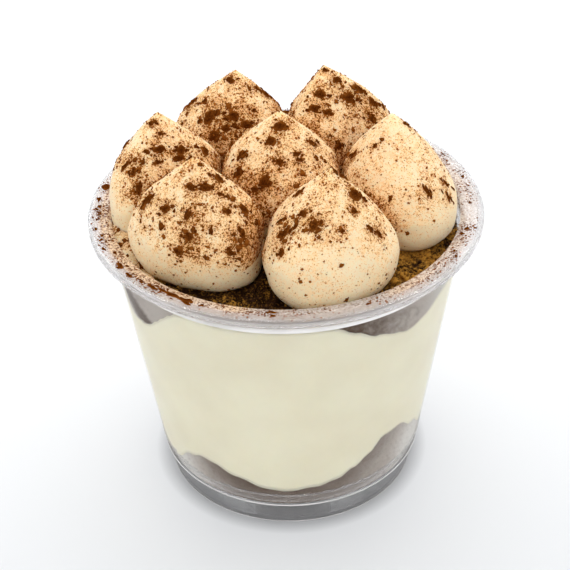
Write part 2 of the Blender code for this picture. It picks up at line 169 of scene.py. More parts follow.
# The large damp clumps on each dollop: direction in degrees from +X, share of the height, width
# across the slope and length down it in millimetres
CLUMPS = {
    "back_left": (
        (230, 0.93, 3.6, 2.2), (226, 0.66, 4.8, 5.0), (268, 0.71, 3.8, 3.6), (286, 0.65, 4.4, 2.9),
        (194, 0.74, 2.5, 2.2), (166, 0.62, 3.0, 4.6), (2, 0.75, 3.4, 4.2), (304, 0.73, 1.8, 1.4),
        (244, 0.55, 3.8, 3.4), (258, 0.62, 3.4, 2.6), (90, 0.7, 3.6, 3.0), (128, 0.56, 3.0, 2.4),
    ),
    "back_right": (
        (272, 0.97, 2.4, 1.5), (332, 0.88, 3.2, 2.3), (326, 0.74, 4.5, 3.6), (2, 0.75, 3.6, 4.0),
        (254, 0.83, 3.6, 3.2), (246, 0.74, 3.6, 2.6), (266, 0.72, 3.6, 2.2), (0, 0.62, 3.8, 4.4),
        (340, 0.54, 3.0, 3.2), (276, 0.48, 1.9, 3.2), (80, 0.66, 3.2, 3.2), (120, 0.78, 2.6, 2.6),
    ),
    "centre": (
        (270, 0.91, 4.6, 3.0), (244, 0.82, 3.6, 3.0), (298, 0.74, 2.9, 1.4), (300, 0.7, 1.9, 1.4),
        (268, 0.7, 3.4, 2.6), (250, 0.57, 3.4, 3.8), (338, 0.76, 1.6, 2.1), (240, 0.51, 2.5, 2.0),
        (212, 0.57, 2.8, 3.4), (198, 0.66, 1.8, 4.2), (60, 0.7, 3.0, 2.6), (124, 0.62, 3.2, 2.2),
    ),
    "left": (
        (230, 0.93, 1.9, 1.7), (278, 0.87, 1.9, 1.4), (272, 0.78, 4.4, 2.6), (316, 0.74, 3.2, 2.5),
        (304, 0.69, 3.8, 2.0), (268, 0.7, 2.2, 1.3), (222, 0.65, 1.8, 4.8), (238, 0.64, 1.8, 2.9),
        (248, 0.54, 2.1, 3.8), (352, 0.65, 3.4, 3.6), (150, 0.6, 2.8, 3.4), (80, 0.72, 2.6, 2.4),
    ),
    "front_left": (
        (216, 0.64, 3.2, 2.6), (256, 0.64, 2.2, 3.2), (256, 0.82, 3.2, 2.2), (298, 0.82, 3.6, 2.4),
        (342, 0.84, 2.8, 3.6), (318, 0.76, 1.9, 1.7), (312, 0.66, 1.9, 1.7), (332, 0.63, 2.7, 3.4),
        (260, 0.5, 2.5, 2.6), (248, 0.38, 2.6, 2.6), (286, 0.55, 1.6, 1.9), (316, 0.5, 1.8, 3.4),
        (180, 0.6, 2.6, 7.0), (300, 0.4, 2.4, 2.1),
    ),
    "front_right": (
        (342, 0.81, 4.0, 4.6), (20, 0.9, 2.8, 4.6), (166, 0.76, 2.4, 3.4), (224, 0.73, 3.2, 2.0),
        (248, 0.69, 2.3, 3.6), (214, 0.58, 2.2, 5.4), (194, 0.6, 1.6, 4.0), (222, 0.47, 2.2, 2.4),
        (288, 0.64, 1.5, 1.0), (316, 0.73, 1.6, 1.6), (326, 0.59, 1.3, 2.6), (334, 0.53, 1.2, 3.2),
    ),
    "right": (
        (2, 0.88, 1.8, 3.6), (174, 0.6, 2.2, 3.4), (220, 0.78, 1.3, 1.6), (296, 0.53, 1.3, 3.8),
        (322, 0.51, 0.9, 4.4), (316, 0.43, 0.9, 4.2), (70, 0.72, 2.6, 2.8), (120, 0.6, 2.4, 2.6),
    ),
}

# Clumps on the rim and on the strip of cream: azimuth, radius, width across, length along the rim
RIM_CLUMPS = (
    (-103, 45.1, 2.6, 3.4), (-95.5, 45.4, 1.1, 2.3), (-91.5, 44.7, 0.7, 1.0), (-89.8, 45.4, 0.7, 0.9),
    (-88, 44.8, 0.8, 1.0), (-84, 45.3, 0.6, 0.9), (-79, 45.7, 0.8, 1.6), (-75, 44.6, 0.7, 0.9),
    (-73, 45.1, 0.7, 1.0), (-68, 45.7, 0.9, 1.6), (-65, 43.7, 1.2, 2.1), (-57.5, 45.0, 1.9, 3.6),
    (-52, 45.4, 1.1, 3.2), (-47, 44.9, 0.8, 1.6), (-43, 44.3, 1.6, 4.4), (-39.5, 43.7, 1.5, 3.0),
    (-35.5, 43.9, 2.0, 5.4), (-31, 43.9, 2.2, 6.0), (-25, 44.3, 0.8, 1.6), (-11, 43.7, 0.9, 1.1),
    (-5, 43.3, 1.0, 3.2), (23, 44.5, 0.7, 1.1), (58.5, 45.1, 0.8, 1.0), (61, 43.7, 0.7, 0.9),
    (71, 43.2, 1.0, 1.5), (74, 43.8, 1.1, 2.0), (89, 44.1, 0.8, 1.7), (104, 45.0, 0.8, 1.2),
    (118.5, 45.5, 0.7, 0.8), (-128, 45.2, 1.6, 3.0), (-152, 45.0, 1.2, 2.2), (166, 45.2, 1.4, 3.4),
    (138, 45.0, 1.1, 1.8), (178, 45.3, 1.9, 6.0), (-174, 45.1, 1.7, 4.6), (172, 45.5, 1.3, 4.0),
)
# How far a clump's edge is pressed into what it lies on
CLUMP_SINK = 0.06 * MM
# Seed of the clumps' ragged outlines and of the scraps round them
CLUMP_SEED = 7
SMEAR_CLUMPS = (
    (-72.5, 41.0, 2.6, 3.4), (-86.5, 40.6, 1.9, 3.8), (-89.5, 38.6, 2.2, 4.0), (-80, 38.2, 1.2, 1.8),
    (-67, 40.4, 0.9, 1.2), (-59, 39.4, 1.7, 2.6), (-63, 38.4, 0.8, 1.2), (-53, 40.6, 0.7, 1.4),
)
# The strip of cream: where it begins and ends, and the ridge on it as azimuth, height, half width
SMEAR_AZIMUTHS = (-100, -32)
SMEAR_WIDTH = 8.5 * MM
SMEAR_HEIGHT = 2.2 * MM
SMEAR_RIDGE = ((-81, 4.2 * MM, 8),)
SMEAR_STEPS = 60
SMEAR_SIDES = 20
CRUMB_LEVEL = 69.2 * MM
DOLLOP_BASE = CRUMB_LEVEL + 0.3 * MM
# A dollop's outline from the side: the share of its height where it is widest, how it draws in
# below and how its shoulders round above, and how hard its neighbours flatten it
WIDEST_AT = 0.28
UNDERCUT = 0.15
UNDERCUT_POWER = 2.5
SHOULDER_POWER = 1.4
SHOULDER_SOFTNESS = 0.16
SQUEEZE_POWER = 14


def length(label, words, default):
    """A length that the user may change, in metres."""
    return bpy.props.FloatProperty(
        name=label, description=words, default=default, min=0.0, max=1.0,
        subtype="DISTANCE", unit="LENGTH", precision=5,
    )


def colour(label, words, default):
    """A colour that the user may change, given as an sRGB hex value."""
    return bpy.props.StringProperty(name=label, description=words, default=default, maxlen=7)


def whole_number(label, words, default, least=0, most=100000):
    """A whole number that the user may change."""
    return bpy.props.IntProperty(
        name=label, description=words, default=default, min=least, max=most
    )


def amount(label, words, default):
    """A power or a strength that the user may change."""
    return bpy.props.FloatProperty(name=label, description=words, default=default, min=0.0)


def angle(label, words, degrees):
    """An angle that the user may change, given in degrees."""
    return bpy.props.FloatProperty(
        name=label, description=words, default=math.radians(degrees),
        subtype="ANGLE", unit="ROTATION",
    )


class CupSizes(bpy.types.PropertyGroup):
    rim_radius: length("Rim radius", "Outer radius of the rolled rim", CUP_HIGH.x)
    rim_top: length("Rim height", "Height of the rolled rim's top", CUP_HIGH.z)
    wall: length("Wall", "Thickness of the thermoformed wall", 0.45 * MM)
    bead: length("Bead", "Radius of the rim's rolled edge", 1.2 * MM)
    sides: whole_number("Sides", "Faces round the cup", 160, 24, 512)


class LayerSizes(bpy.types.PropertyGroup):
    base_middle: length("Base middle", "Height of the lower sponge at the axis", 16.5 * MM)
    cream_middle: length("Cream middle", "Height of the cream at the axis", 60.0 * MM)
    into_wall: length("Into the wall", "How far the food reaches into the plastic", 0.12 * MM)
    crumb_count: whole_number("Crumbs", "Loose crumbs on the upper sponge", 3600)
    crumb_size: length("Crumb size", "Widest crumb across", 1.9 * MM)


class DollopSizes(bpy.types.PropertyGroup):
    sides: whole_number("Sides", "Faces round a dollop", 84, 12, 256)
    rows: whole_number("Rows", "Faces up a dollop", 60, 8, 200)
    ripple: length("Ripple", "How far the piped face departs from smooth", 0.5 * MM)


class CocoaSizes(bpy.types.PropertyGroup):
    grain_count: whole_number("Grains", "Grains of cocoa on the dollops", 9500)
    smallest: length("Smallest grain", "Narrowest grain across", 0.18 * MM)
    widest: length("Widest grain", "Widest grain across", 0.9 * MM)
    lump_count: whole_number("Lumps", "Small lumps of cocoa on the dollops", 900)
    lump_widest: length("Widest lump", "Widest small lump across", 1.7 * MM)
    thickness: length("Clump thickness", "Rise of a large clump", 0.4 * MM)
    rim_count: whole_number("Rim grains", "Grains of cocoa on the rim and the wall", 9000)
    rim_widest: length("Widest rim grain", "Widest grain on the rim", 0.6 * MM)
    seed: whole_number("Seed", "Seed of the scatter", 5)


class FoodColours(bpy.types.PropertyGroup):
    layer_cream: colour("Layer cream", "Cream seen through the wall", "#f8f3d9")
    # Bare cream is coloured a little darker as painted shade, since it lies mostly on the dollops' lower
    # flanks
    piped_cream: colour("Piped cream", "Bare cream of the dollops", "#edddb9")
    thin_dust: colour("Thin dust", "Cream tinted by a little cocoa", "#f6d3a0")
    dusted_cream: colour("Dusted cream", "Cream under a film of cocoa", "#e2ac72")
    rusty_dust: colour("Rusty dust", "Cocoa so thick that little cream shows", "#a8652a")
    thick_dust: colour("Thick dust", "Cream hidden by cocoa", "#6a380a")
    cocoa: colour("Cocoa", "Clumps of cocoa powder", "#3c1602")
    crumb_dark: colour("Dark crumb", "Crumb soaked in coffee", "#2a1405")
    crumb_light: colour("Light crumb", "Crumb that stayed golden", "#b98535")
    sponge_side: colour("Sponge side", "Sponge pressed against the wall", "#bdb4ab")
    sponge_brown: colour("Sponge brown", "Coffee that soaked to the wall", "#5a4532")


class StageLook(bpy.types.PropertyGroup):
    floor: colour("Floor", "Pale table top behind the cup", "#b6b7b9")
    # Painted shade: the table is coloured darker before the cup, standing for the light falling off
    # towards the front
    shaded_near_floor: colour("Near floor", "Pale table top before the cup", "#8b8d90")
    # Painted light: the table top glows though it is no lamp, lifting its shadows and lighting the cup
    # from below
    glow: amount("Glow", "Light that comes up through the table", 0.44)
    key_power: amount("Key", "Power of the overhead softbox in watts", 4.2)
    fill_power: amount("Fill", "Power of the front panel in watts", 1.0)
    air: amount("Air", "Strength of the white surroundings", 1.0)
    distance: length("Camera distance", "From the camera to the aim point", 385 * MM)
    aim_height: length("Aim height", "Height of the aim point on the axis", 50.5 * MM)
    elevation: angle("Elevation", "Camera's angle above the table", 35.5)
    roll: angle("Roll", "Camera's tilt about its own axis", -1.4)
    focal: bpy.props.FloatProperty(
        name="Focal length", description="On a sensor 36 mm wide", default=97.64, min=10.0
    )
    shift: bpy.props.FloatProperty(
        name="Shift", description="Sideways shift of the frame", default=-0.0048
    )


def linear(hex_value):
    """The linear RGBA of an sRGB hex value."""
    channels = [int(hex_value[i:i + 2], 16) / 255 for i in (1, 3, 5)]
    bent = [c / 12.92 if c <= 0.04045 else ((c + 0.055) / 1.055) ** 2.4 for c in channels]
    return (*bent, 1.0)


def fill(tree, node, values):
    """Sets the node's inputs, or links those whose value is a socket."""
    for name, value in values.items():
        if isinstance(value, bpy.types.NodeSocket):
            tree.links.new(value, node.inputs[name])
        else:
            node.inputs[name].default_value = value


def add(tree, kind, values=None, **settings):
    """Adds a node. Values fill its inputs, with a socket as a link, and settings its properties."""
    node = tree.nodes.new(kind)
    for name, value in settings.items():
        setattr(node, name, value)
    fill(tree, node, values or {})
    return node


def new_material(name):
    """A material with its shader and output, its tree and its object coordinates."""
    material = bpy.data.materials.new(name)
    material.use_nodes = True
    tree = material.node_tree
    shader = tree.nodes["Principled BSDF"]
    where = add(tree, "ShaderNodeTexCoord").outputs["Object"]
    return material, tree, shader, where


def speckle(tree, where, size, detail=2.0, roughness=0.5):
    """Noise whose blotches are this wide, as a value round a half."""
    values = {"Vector": where, "Scale": 1.0 / size, "Detail": detail, "Roughness": roughness}
    return add(tree, "ShaderNodeTexNoise", values).outputs["Fac"]


def ramp(tree, value, low, high, out_low=0.0, out_high=1.0):
    """The value spread from one range to another and held to it."""
    values = {
        "Value": value, "From Min": low, "From Max": high, "To Min": out_low, "To Max": out_high
    }
    return add(tree, "ShaderNodeMapRange", values).outputs["Result"]


def blend(tree, share, first, second):
    """One colour or the other by this share."""
    node = add(tree, "ShaderNodeMix", {0: share, 6: first, 7: second}, data_type="RGBA")
    return node.outputs[2]


def mix(tree, share, first, second):
    """One shader or the other by this share."""
    return add(tree, "ShaderNodeMixShader", {0: share, 1: first, 2: second}).outputs["Shader"]


def carried(tree, name):
    """The number that the mesh carries at each point under this name."""
    return add(tree, "ShaderNodeAttribute", attribute_name=name).outputs["Fac"]


def compute(tree, operation, first, second=0.0):
    """Arithmetic on two values, held between nothing and one."""
    node = add(tree, "ShaderNodeMath", {0: first, 1: second}, operation=operation)
    node.use_clamp = True
    return node.outputs["Value"]


def add_up(tree, first, second):
    """The sum of two values, not held to one."""
    return add(tree, "ShaderNodeMath", {0: first, 1: second}, operation="ADD").outputs["Value"]


def multiply(tree, first, second):
    """The product of two values, not held to one."""
    return add(tree, "ShaderNodeMath", {0: first, 1: second}, operation="MULTIPLY").outputs["Value"]


def shades(tree, value, stops):
    """A run of colours along the value, each given as place and sRGB hex value."""
    node = add(tree, "ShaderNodeValToRGB", {"Fac": value})
    elements = node.color_ramp.elements
    while len(elements) < len(stops):
        elements.new(0.5)
    for element, (place, hex_value) in zip(elements, stops):
        element.position = place
        element.color = linear(hex_value)
    return node.outputs["Color"]


def bump(tree, shader, height, depth):
    """Relief of this depth in metres, from a height round nothing to one."""
    node = add(tree, "ShaderNodeBump", {"Height": height, "Distance": depth, "Strength": 1.0})
    tree.links.new(node.outputs["Normal"], shader.inputs["Normal"])


def clear_pet():
    """PET, thermoformed: glass-clear and so thin that half the light passes unbent.

    Faint waves from the mould bend its reflections. A tan film of cocoa clings where the dust
    attribute says so, browner where it is thick. Painted highlights, white diffuse lines along the
    sharp folds of the outer face, stand for the light that the folds catch.
    """
    material, tree, shader, where = new_material("clear_pet_thermoformed")
    fill(tree, shader, {
        "Base Color": linear("#f7f5f6"), "Roughness": 0.03, "IOR": 1.5,
        "Transmission Weight": 1.0,
    })
    mould_waves = 9 * MM
    bump(tree, shader, speckle(tree, where, mould_waves, 1.0), 0.012 * MM)
    rays = add(tree, "ShaderNodeLightPath")
    unbent = compute(tree, "MAXIMUM", rays.outputs["Is Shadow Ray"], 0.5)
    pass_light = add(tree, "ShaderNodeBsdfTransparent", {"Color": linear("#fbfbfb")})
    clear = mix(tree, unbent, shader.outputs["BSDF"], pass_light.outputs["BSDF"])
    dust = carried(tree, "dust")
    fine = speckle(tree, where, 0.4 * MM, 3.0, 0.7)
    dots = ramp(tree, speckle(tree, where, 0.7 * MM, 3.0, 0.7), 0.5, 0.6)
    dots = compute(tree, "MULTIPLY", dots, ramp(tree, dust, 0.4, 0.9, 0.35, 1.0))
    film = blend(tree, ramp(tree, dust, 0.6, 0.95), linear("#eadfd6"), linear("#eacba6"))
    shade = blend(tree, dots, film, linear("#7e4b2a"))
    powder = add(tree, "ShaderNodeBsdfDiffuse", {"Color": shade})
    share = compute(tree, "MULTIPLY", ramp(tree, fine, 0.32, 0.62, 0.4, 1.0), dust)
    dusted = mix(tree, share, clear, powder.outputs["BSDF"])
    # Painted highlight: white diffuse plastic along the folds, standing for the light they would catch
    painted_fold_highlight = carried(tree, "painted_fold_highlight")
    highlight_white = add(tree, "ShaderNodeBsdfDiffuse", {"Color": linear("#fbf9f8")})
    surface = mix(tree, painted_fold_highlight, dusted, highlight_white.outputs["BSDF"])
    fill(tree, tree.nodes["Material Output"], {"Surface": surface})
    return material


def layer_cream(food):
    """Mascarpone cream pressed on the wall: smooth and pale, with faint cloudy streaks."""
    material, tree, shader, where = new_material("mascarpone_cream_spooned")
    cloud = ramp(tree, speckle(tree, where, 14 * MM, 3.0), 0.35, 0.7)
    fill(tree, shader, {
        "Base Color": blend(tree, cloud, linear(food.layer_cream), linear("#f2ecd1")),
        "Roughness": 0.5, "Subsurface Weight": 0.25, "Subsurface Radius": (1.0, 0.8, 0.5),
        "Subsurface Scale": 2 * MM,
    })
    bump(tree, shader, speckle(tree, where, 3 * MM, 3.0), 0.1 * MM)
    return material


def wall_sponge(food):
    """Sponge soaked in coffee behind the plastic: greyed by the cream's film, brown where it is bare,
    near white at the sides where the film also carries painted reflection of light on the plastic.
    """
    material, tree, shader, where = new_material("soaked_sponge_behind_film")
    film = carried(tree, "film")
    cloud = compute(tree, "MULTIPLY", speckle(tree, where, 5 * MM, 4.0, 0.6), 0.5)
    share = compute(tree, "SUBTRACT", add_up(tree, film, cloud), 0.25)
    side = blend(tree, share, linear(food.sponge_brown), linear(food.sponge_side))
    # Near white where the film passes one: cream film, and painted reflection of light on the plastic at
    # the sides
    side = blend(tree, ramp(tree, film, 1.0, 1.8), side, linear("#e2dfd8"))
    pores = ramp(tree, speckle(tree, where, 0.9 * MM, 3.0), 0.5, 0.75, 0.0, 0.35)
    side = blend(tree, pores, side, linear("#6b5443"))
    fill(tree, shader, {"Base Color": side, "Roughness": 0.7})
    bump(tree, shader, speckle(tree, where, 0.8 * MM, 3.0), 0.25 * MM)
    return material


def crumb_sponge(food):
    """Crumbled sponge: dark where the coffee soaked in, darker at the front with painted shade under the
    dollops, golden where it stayed dry, open pored.
    """
    material, tree, shader, where = new_material("crumbled_coffee_sponge")
    tone = carried(tree, "tone")
    grainy = ramp(tree, speckle(tree, where, 0.6 * MM, 4.0, 0.65), 0.38, 0.66)
    golden = compute(tree, "MULTIPLY", tone, 0.6)
    share = compute(tree, "ADD", golden, compute(tree, "MULTIPLY", grainy, 0.55))
    share = ramp(tree, share, 0.3, 0.8)
    top = blend(tree, share, linear(food.crumb_dark), linear(food.crumb_light))
    side = carried(tree, "side")
    film = carried(tree, "film")
    cloud = multiply(tree, speckle(tree, where, 2.2 * MM, 5.0, 0.75), 1.8)
    pale = compute(tree, "SUBTRACT", add_up(tree, film, cloud), 0.9)
    pressed = blend(tree, pale, linear(food.sponge_brown), linear(food.sponge_side))
    pressed = blend(tree, ramp(tree, film, 1.0, 1.6), pressed, linear("#cfccc4"))
    tone = blend(tree, side, top, pressed)
    fill(tree, shader, {"Base Color": tone, "Roughness": 0.85, "Specular IOR Level": 0.1})
    bump(tree, shader, speckle(tree, where, 0.5 * MM, 3.0), 0.2 * MM)
    return material


def dusted_cream(food):
    """Piped mascarpone cream under sifted cocoa: satin where bare, matt and golden under the dust.

    One colour ramp runs from bare cream through a thin orange film to cocoa that hides the cream, and
    the dust attribute, clouds and three sizes of speck decide how much lies at each place.
    """
    material, tree, shader, where = new_material("piped_cream_dusted_with_cocoa")
    dust = carried(tree, "dust")
    cloud = speckle(tree, where, 1.3 * MM, 5.0, 0.75)
    fine = speckle(tree, where, 0.45 * MM, 3.0, 0.7)
    uneven = add_up(
        tree, ramp(tree, cloud, 0.32, 0.68, -0.22, 0.22), ramp(tree, fine, 0.3, 0.7, -0.18, 0.18)
    )
    uneven = multiply(tree, uneven, ramp(tree, dust, 0.0, 0.5))
    level = add_up(tree, ramp(tree, dust, 0.05, 1.3, 0.0, 0.47), uneven)
    for size, detail, bare, dusty, strength in (
        (0.3 * MM, 1.0, 0.66, 0.55, 0.5),
        (0.5 * MM, 2.0, 0.66, 0.55, 0.6),
        (0.85 * MM, 3.0, 0.72, 0.575, 0.75),
    ):
        grain = speckle(tree, where, size, detail, 0.65)
        least = ramp(tree, dust, 0.0, 1.0, bare, dusty)
        speck = compute(tree, "MULTIPLY", compute(tree, "SUBTRACT", grain, least), 14.0)
        level = add_up(tree, level, compute(tree, "MULTIPLY", speck, strength))
    # The bare cream stop is a little darker as painted shade, since bare cream lies mostly low on the
    # dollops
    tone = shades(
        tree, level,
        (
            (0.0, food.piped_cream), (0.22, food.thin_dust), (0.5, food.dusted_cream),
            (0.8, food.rusty_dust), (1.0, food.thick_dust),
        ),
    )
    fill(tree, shader, {
        "Base Color": tone,
        "Roughness": ramp(tree, level, 0.0, 0.6, 0.45, 0.85),
        "Specular IOR Level": ramp(tree, level, 0.1, 0.6, 0.5, 0.0),
        "Subsurface Weight": 0.6, "Subsurface Radius": (1.0, 0.85, 0.6),
        "Subsurface Scale": 3.5 * MM,
    })
    bump(tree, shader, grain, 0.06 * MM)
    return material


def cocoa_powder(food):
    """Cocoa powder clumped by damp: dark, matt and grainy, redder where a clump is thin."""
    material, tree, shader, where = new_material("cocoa_powder_sifted")
    tone = carried(tree, "tone")
    grain = ramp(tree, speckle(tree, where, 0.35 * MM, 3.0, 0.7), 0.45, 0.75, 0.0, 0.3)
    share = compute(tree, "ADD", compute(tree, "MULTIPLY", tone, 0.6), grain)
    brown = blend(tree, share, linear(food.cocoa), linear("#a05c22"))
    fill(tree, shader, {"Base Color": brown, "Roughness": 0.95, "Specular IOR Level": 0.0})
    bump(tree, shader, speckle(tree, where, 0.25 * MM, 3.0), 0.12 * MM)
    return material


def held(value, least=0.0, most=1.0):
    """The value, or the nearer bound where it passes one."""
    return min(max(value, least), most)


def heading(azimuth):
    """The direction of this azimuth in radians."""
    return Vector((math.sin(azimuth), -math.cos(azimuth), 0.0))


def azimuth_of(point):
    return math.atan2(point.x, -point.y)


def lifted(height):
    return Vector((0.0, 0.0, height))


def wall_radius(height):
    """Outer radius of the straight tapered wall."""
    share = (height - LOW_STEP_HEIGHT) / (HIGH_STEP_HEIGHT - LOW_STEP_HEIGHT)
    return LOW_STEP_RADIUS + share * (HIGH_STEP_RADIUS - LOW_STEP_RADIUS)


def room_radius(height, cup, into_wall):
    """Radius of the food at this height, just inside the plastic."""
    if height < LOW_STEP_HEIGHT:
        low = FLOOR_STEP_RADIUS + (height - FLOOR_TOP) / (LOW_STEP_HEIGHT - FLOOR_TOP) * STEP_OUT
        return low - cup.wall + into_wall
    return wall_radius(min(height, HIGH_STEP_HEIGHT)) - cup.wall + into_wall


def waves(azimuth, hills):
    """Sum of soft hills along the wall, each given as azimuth and half width in degrees."""
    total = 0.0
    for crest, rise, half_width in hills:
        away = (math.degrees(azimuth) - crest + 180) % 360 - 180
        total += rise * math.exp(-((away / half_width) ** 2))
    return total


def edge_height(azimuth, table):
    """Height of a layer's edge on the wall, read smoothly from its table."""
    degrees = (math.degrees(azimuth) + 180) % 360 - 180
    for (start, low), (stop, high) in zip(table, table[1:]):
        if start <= degrees <= stop:
            share = (degrees - start) / (stop - start)
            return (low + (high - low) * share * share * (3 - 2 * share)) * MM
    raise ValueError(f"no edge at {degrees}")


def roughness(point, size, seed=0):
    """Smooth noise round nothing, with hills this wide."""
    return noise.noise(Vector(point) / size + Vector((seed * 7.3, seed * 1.7, 0.0)))


def linked(name, data):
    """A new object in the scene."""
    thing = bpy.data.objects.new(name, data)
    bpy.context.scene.collection.objects.link(thing)
    return thing


def plain_object(name, mesh, material, slot, *replaced):
    """The mesh as a piece of the dessert, smooth, with its material, on the one body."""
    piece = linked(name, mesh)
    mesh.materials.clear()
    mesh.materials.append(material)
    mesh.shade_smooth()
    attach(piece, BODY)
    if replaced:
        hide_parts(*replaced)
    return piece


def fix_normals(mesh):
    """Turns every face of a closed mesh outwards."""
    shape = bmesh.new()
    shape.from_mesh(mesh)
    bmesh.ops.recalc_face_normals(shape, faces=shape.faces)
    shape.to_mesh(mesh)
    shape.free()


def ring_mesh(name, rings, low_end, high_end):
    """A closed mesh of equal rings listed from the bottom up, with a point at each end."""
    count = len(rings[0])
    points = [tuple(p) for ring in rings for p in ring] + [tuple(low_end), tuple(high_end)]
    faces = []
    for row in range(len(rings) - 1):
        for i in range(count):
            j = (i + 1) % count
            low, high = row * count, (row + 1) * count
            faces.append((low + i, low + j, high + j, high + i))
    last = (len(rings) - 1) * count
    for i in range(count):
        j = (i + 1) % count
        faces.append((j, i, len(points) - 2))
        faces.append((last + i, last + j, len(points) - 1))
    mesh = bpy.data.meshes.new(name)
    mesh.from_pydata(points, [], faces)
    return mesh


def set_values(mesh, name, values):
    """Stores one number for each point of the mesh."""
    layer = mesh.attributes.get(name) or mesh.attributes.new(name, "FLOAT", "POINT")
    layer.data.foreach_set("value", np.asarray(values, np.float32))


def arc(centre, radius, start, stop, steps):
    """Points along a round corner of a turned outline, from one angle in degrees to another."""
    turns = [math.radians(start + (stop - start) * i / steps) for i in range(steps + 1)]
    return [(centre[0] + radius * math.cos(t), centre[1] + radius * math.sin(t)) for t in turns]


def cup_outline(cup):
    """The cup's thin section, from the middle of the floor's underside round the rim to its top."""
    wall = cup.wall
    bead_middle = (cup.rim_radius - cup.bead, cup.rim_top - cup.bead)
    mouth = HIGH_STEP_RADIUS + STEP_OUT - wall
    corner = 0.35 * MM
    foot_edge = 0.45 * MM
    outer = [
        (0.0, FLOOR_TOP - wall),
        (FOOT_RADIUS - 4 * wall, FLOOR_TOP - wall),
        (FOOT_RADIUS - 2.2 * wall, FLOOR_TOP - 2 * wall),
        (FOOT_RADIUS - wall, 1.8 * foot_edge),
        *arc((FOOT_RADIUS - foot_edge, foot_edge), foot_edge, 150, 370, 10),
        (FLOOR_STEP_RADIUS - corner, FLOOR_TOP - 2 * corner),
        *arc((FLOOR_STEP_RADIUS, FLOOR_TOP), 1.4 * corner, -80, 70, 9),
        (LOW_STEP_RADIUS - STEP_OUT, LOW_STEP_HEIGHT - 2 * corner),
        *arc((LOW_STEP_RADIUS - corner, LOW_STEP_HEIGHT), corner, -60, 20, 4),
        (wall_radius(30 * MM), 30 * MM),
        (wall_radius(50 * MM), 50 * MM),
        (HIGH_STEP_RADIUS, HIGH_STEP_HEIGHT - corner),
        *arc((HIGH_STEP_RADIUS + corner, HIGH_STEP_HEIGHT + corner), corner, -60, 30, 4),
        (HIGH_STEP_RADIUS + STEP_OUT, RIM_UNDERSIDE),
        (HIGH_STEP_RADIUS + STEP_OUT, cup.rim_top - wall - 0.9 * MM),
        (HIGH_STEP_RADIUS + STEP_OUT + 0.1 * MM, cup.rim_top - wall - 0.65 * MM),
        (HIGH_STEP_RADIUS + STEP_OUT + 0.35 * MM, cup.rim_top - wall - 0.42 * MM),
        (mouth + 1.4 * MM, cup.rim_top - wall - 0.35 * MM),
        *arc(bead_middle, cup.bead - wall, 90, -115, 14),
        *arc(bead_middle, cup.bead, -115, 90, 18),
    ]
    inner = [
        (mouth + 1.4 * MM, cup.rim_top - 0.35 * MM),
        (mouth + 0.2 * MM, cup.rim_top - 0.42 * MM),
        (MOUTH_RADIUS + 0.25 * MM, cup.rim_top - 0.5 * MM),
        (MOUTH_RADIUS, cup.rim_top - 0.68 * MM),
        (MOUTH_RADIUS, cup.rim_top - 0.88 * MM),
        (MOUTH_RADIUS + 0.25 * MM, cup.rim_top - 1.0 * MM),
        (mouth, cup.rim_top - 1.5 * MM),
        (mouth, HIGH_STEP_HEIGHT + 0.9 * MM),
        (HIGH_STEP_RADIUS - wall, HIGH_STEP_HEIGHT + 0.2 * MM),
        (wall_radius(50 * MM) - wall, 50 * MM),
        (wall_radius(30 * MM) - wall, 30 * MM),
        (LOW_STEP_RADIUS - wall, LOW_STEP_HEIGHT),
        (LOW_STEP_RADIUS - STEP_OUT - wall, LOW_STEP_HEIGHT - 2 * corner),
        (FLOOR_STEP_RADIUS + 0.6 * corner - wall, FLOOR_TOP + wall),
        (FLOOR_STEP_RADIUS - 2 * wall, FLOOR_TOP),
        (0.0, FLOOR_TOP),
    ]
    return outer + inner


def rim_film(point, cup):
    """How thick a film of cocoa clings to the cup's face here: on the mouth and the flange's top."""
    out = math.hypot(point.x, point.y)
    mouth = HIGH_STEP_RADIUS + STEP_OUT - cup.wall
    azimuth = azimuth_of(point)
    level = 0.6 + waves(azimuth, RIM_DUST) + 0.4 * roughness(point, 9 * MM, 61)
    if point.z > cup.rim_top - 0.8 * MM and out < DUST_END:
        fade = held((DUST_END - out) / (2.0 * MM))
        return held(level, 0.25, 0.95) * fade
    on_wall = abs(out - mouth) < 0.3 * MM and point.z > HIGH_STEP_HEIGHT + 0.5 * MM
    return held(0.55 * level, 0.0, 0.6) if on_wall else 0.0


def fold_highlight_share(point):
    """How strong the painted highlight is at the sharp folds of the cup's outer face, where they catch
    the light.
    """
    out = math.hypot(point.x, point.y)
    for least_radius, level, half_height, highlight_strength in FOLD_HIGHLIGHTS:
        if out > least_radius and abs(point.z - level) < half_height:
            return highlight_strength * (1.0 + 0.33 * roughness(point, 8 * MM, 67))
    return 0.0


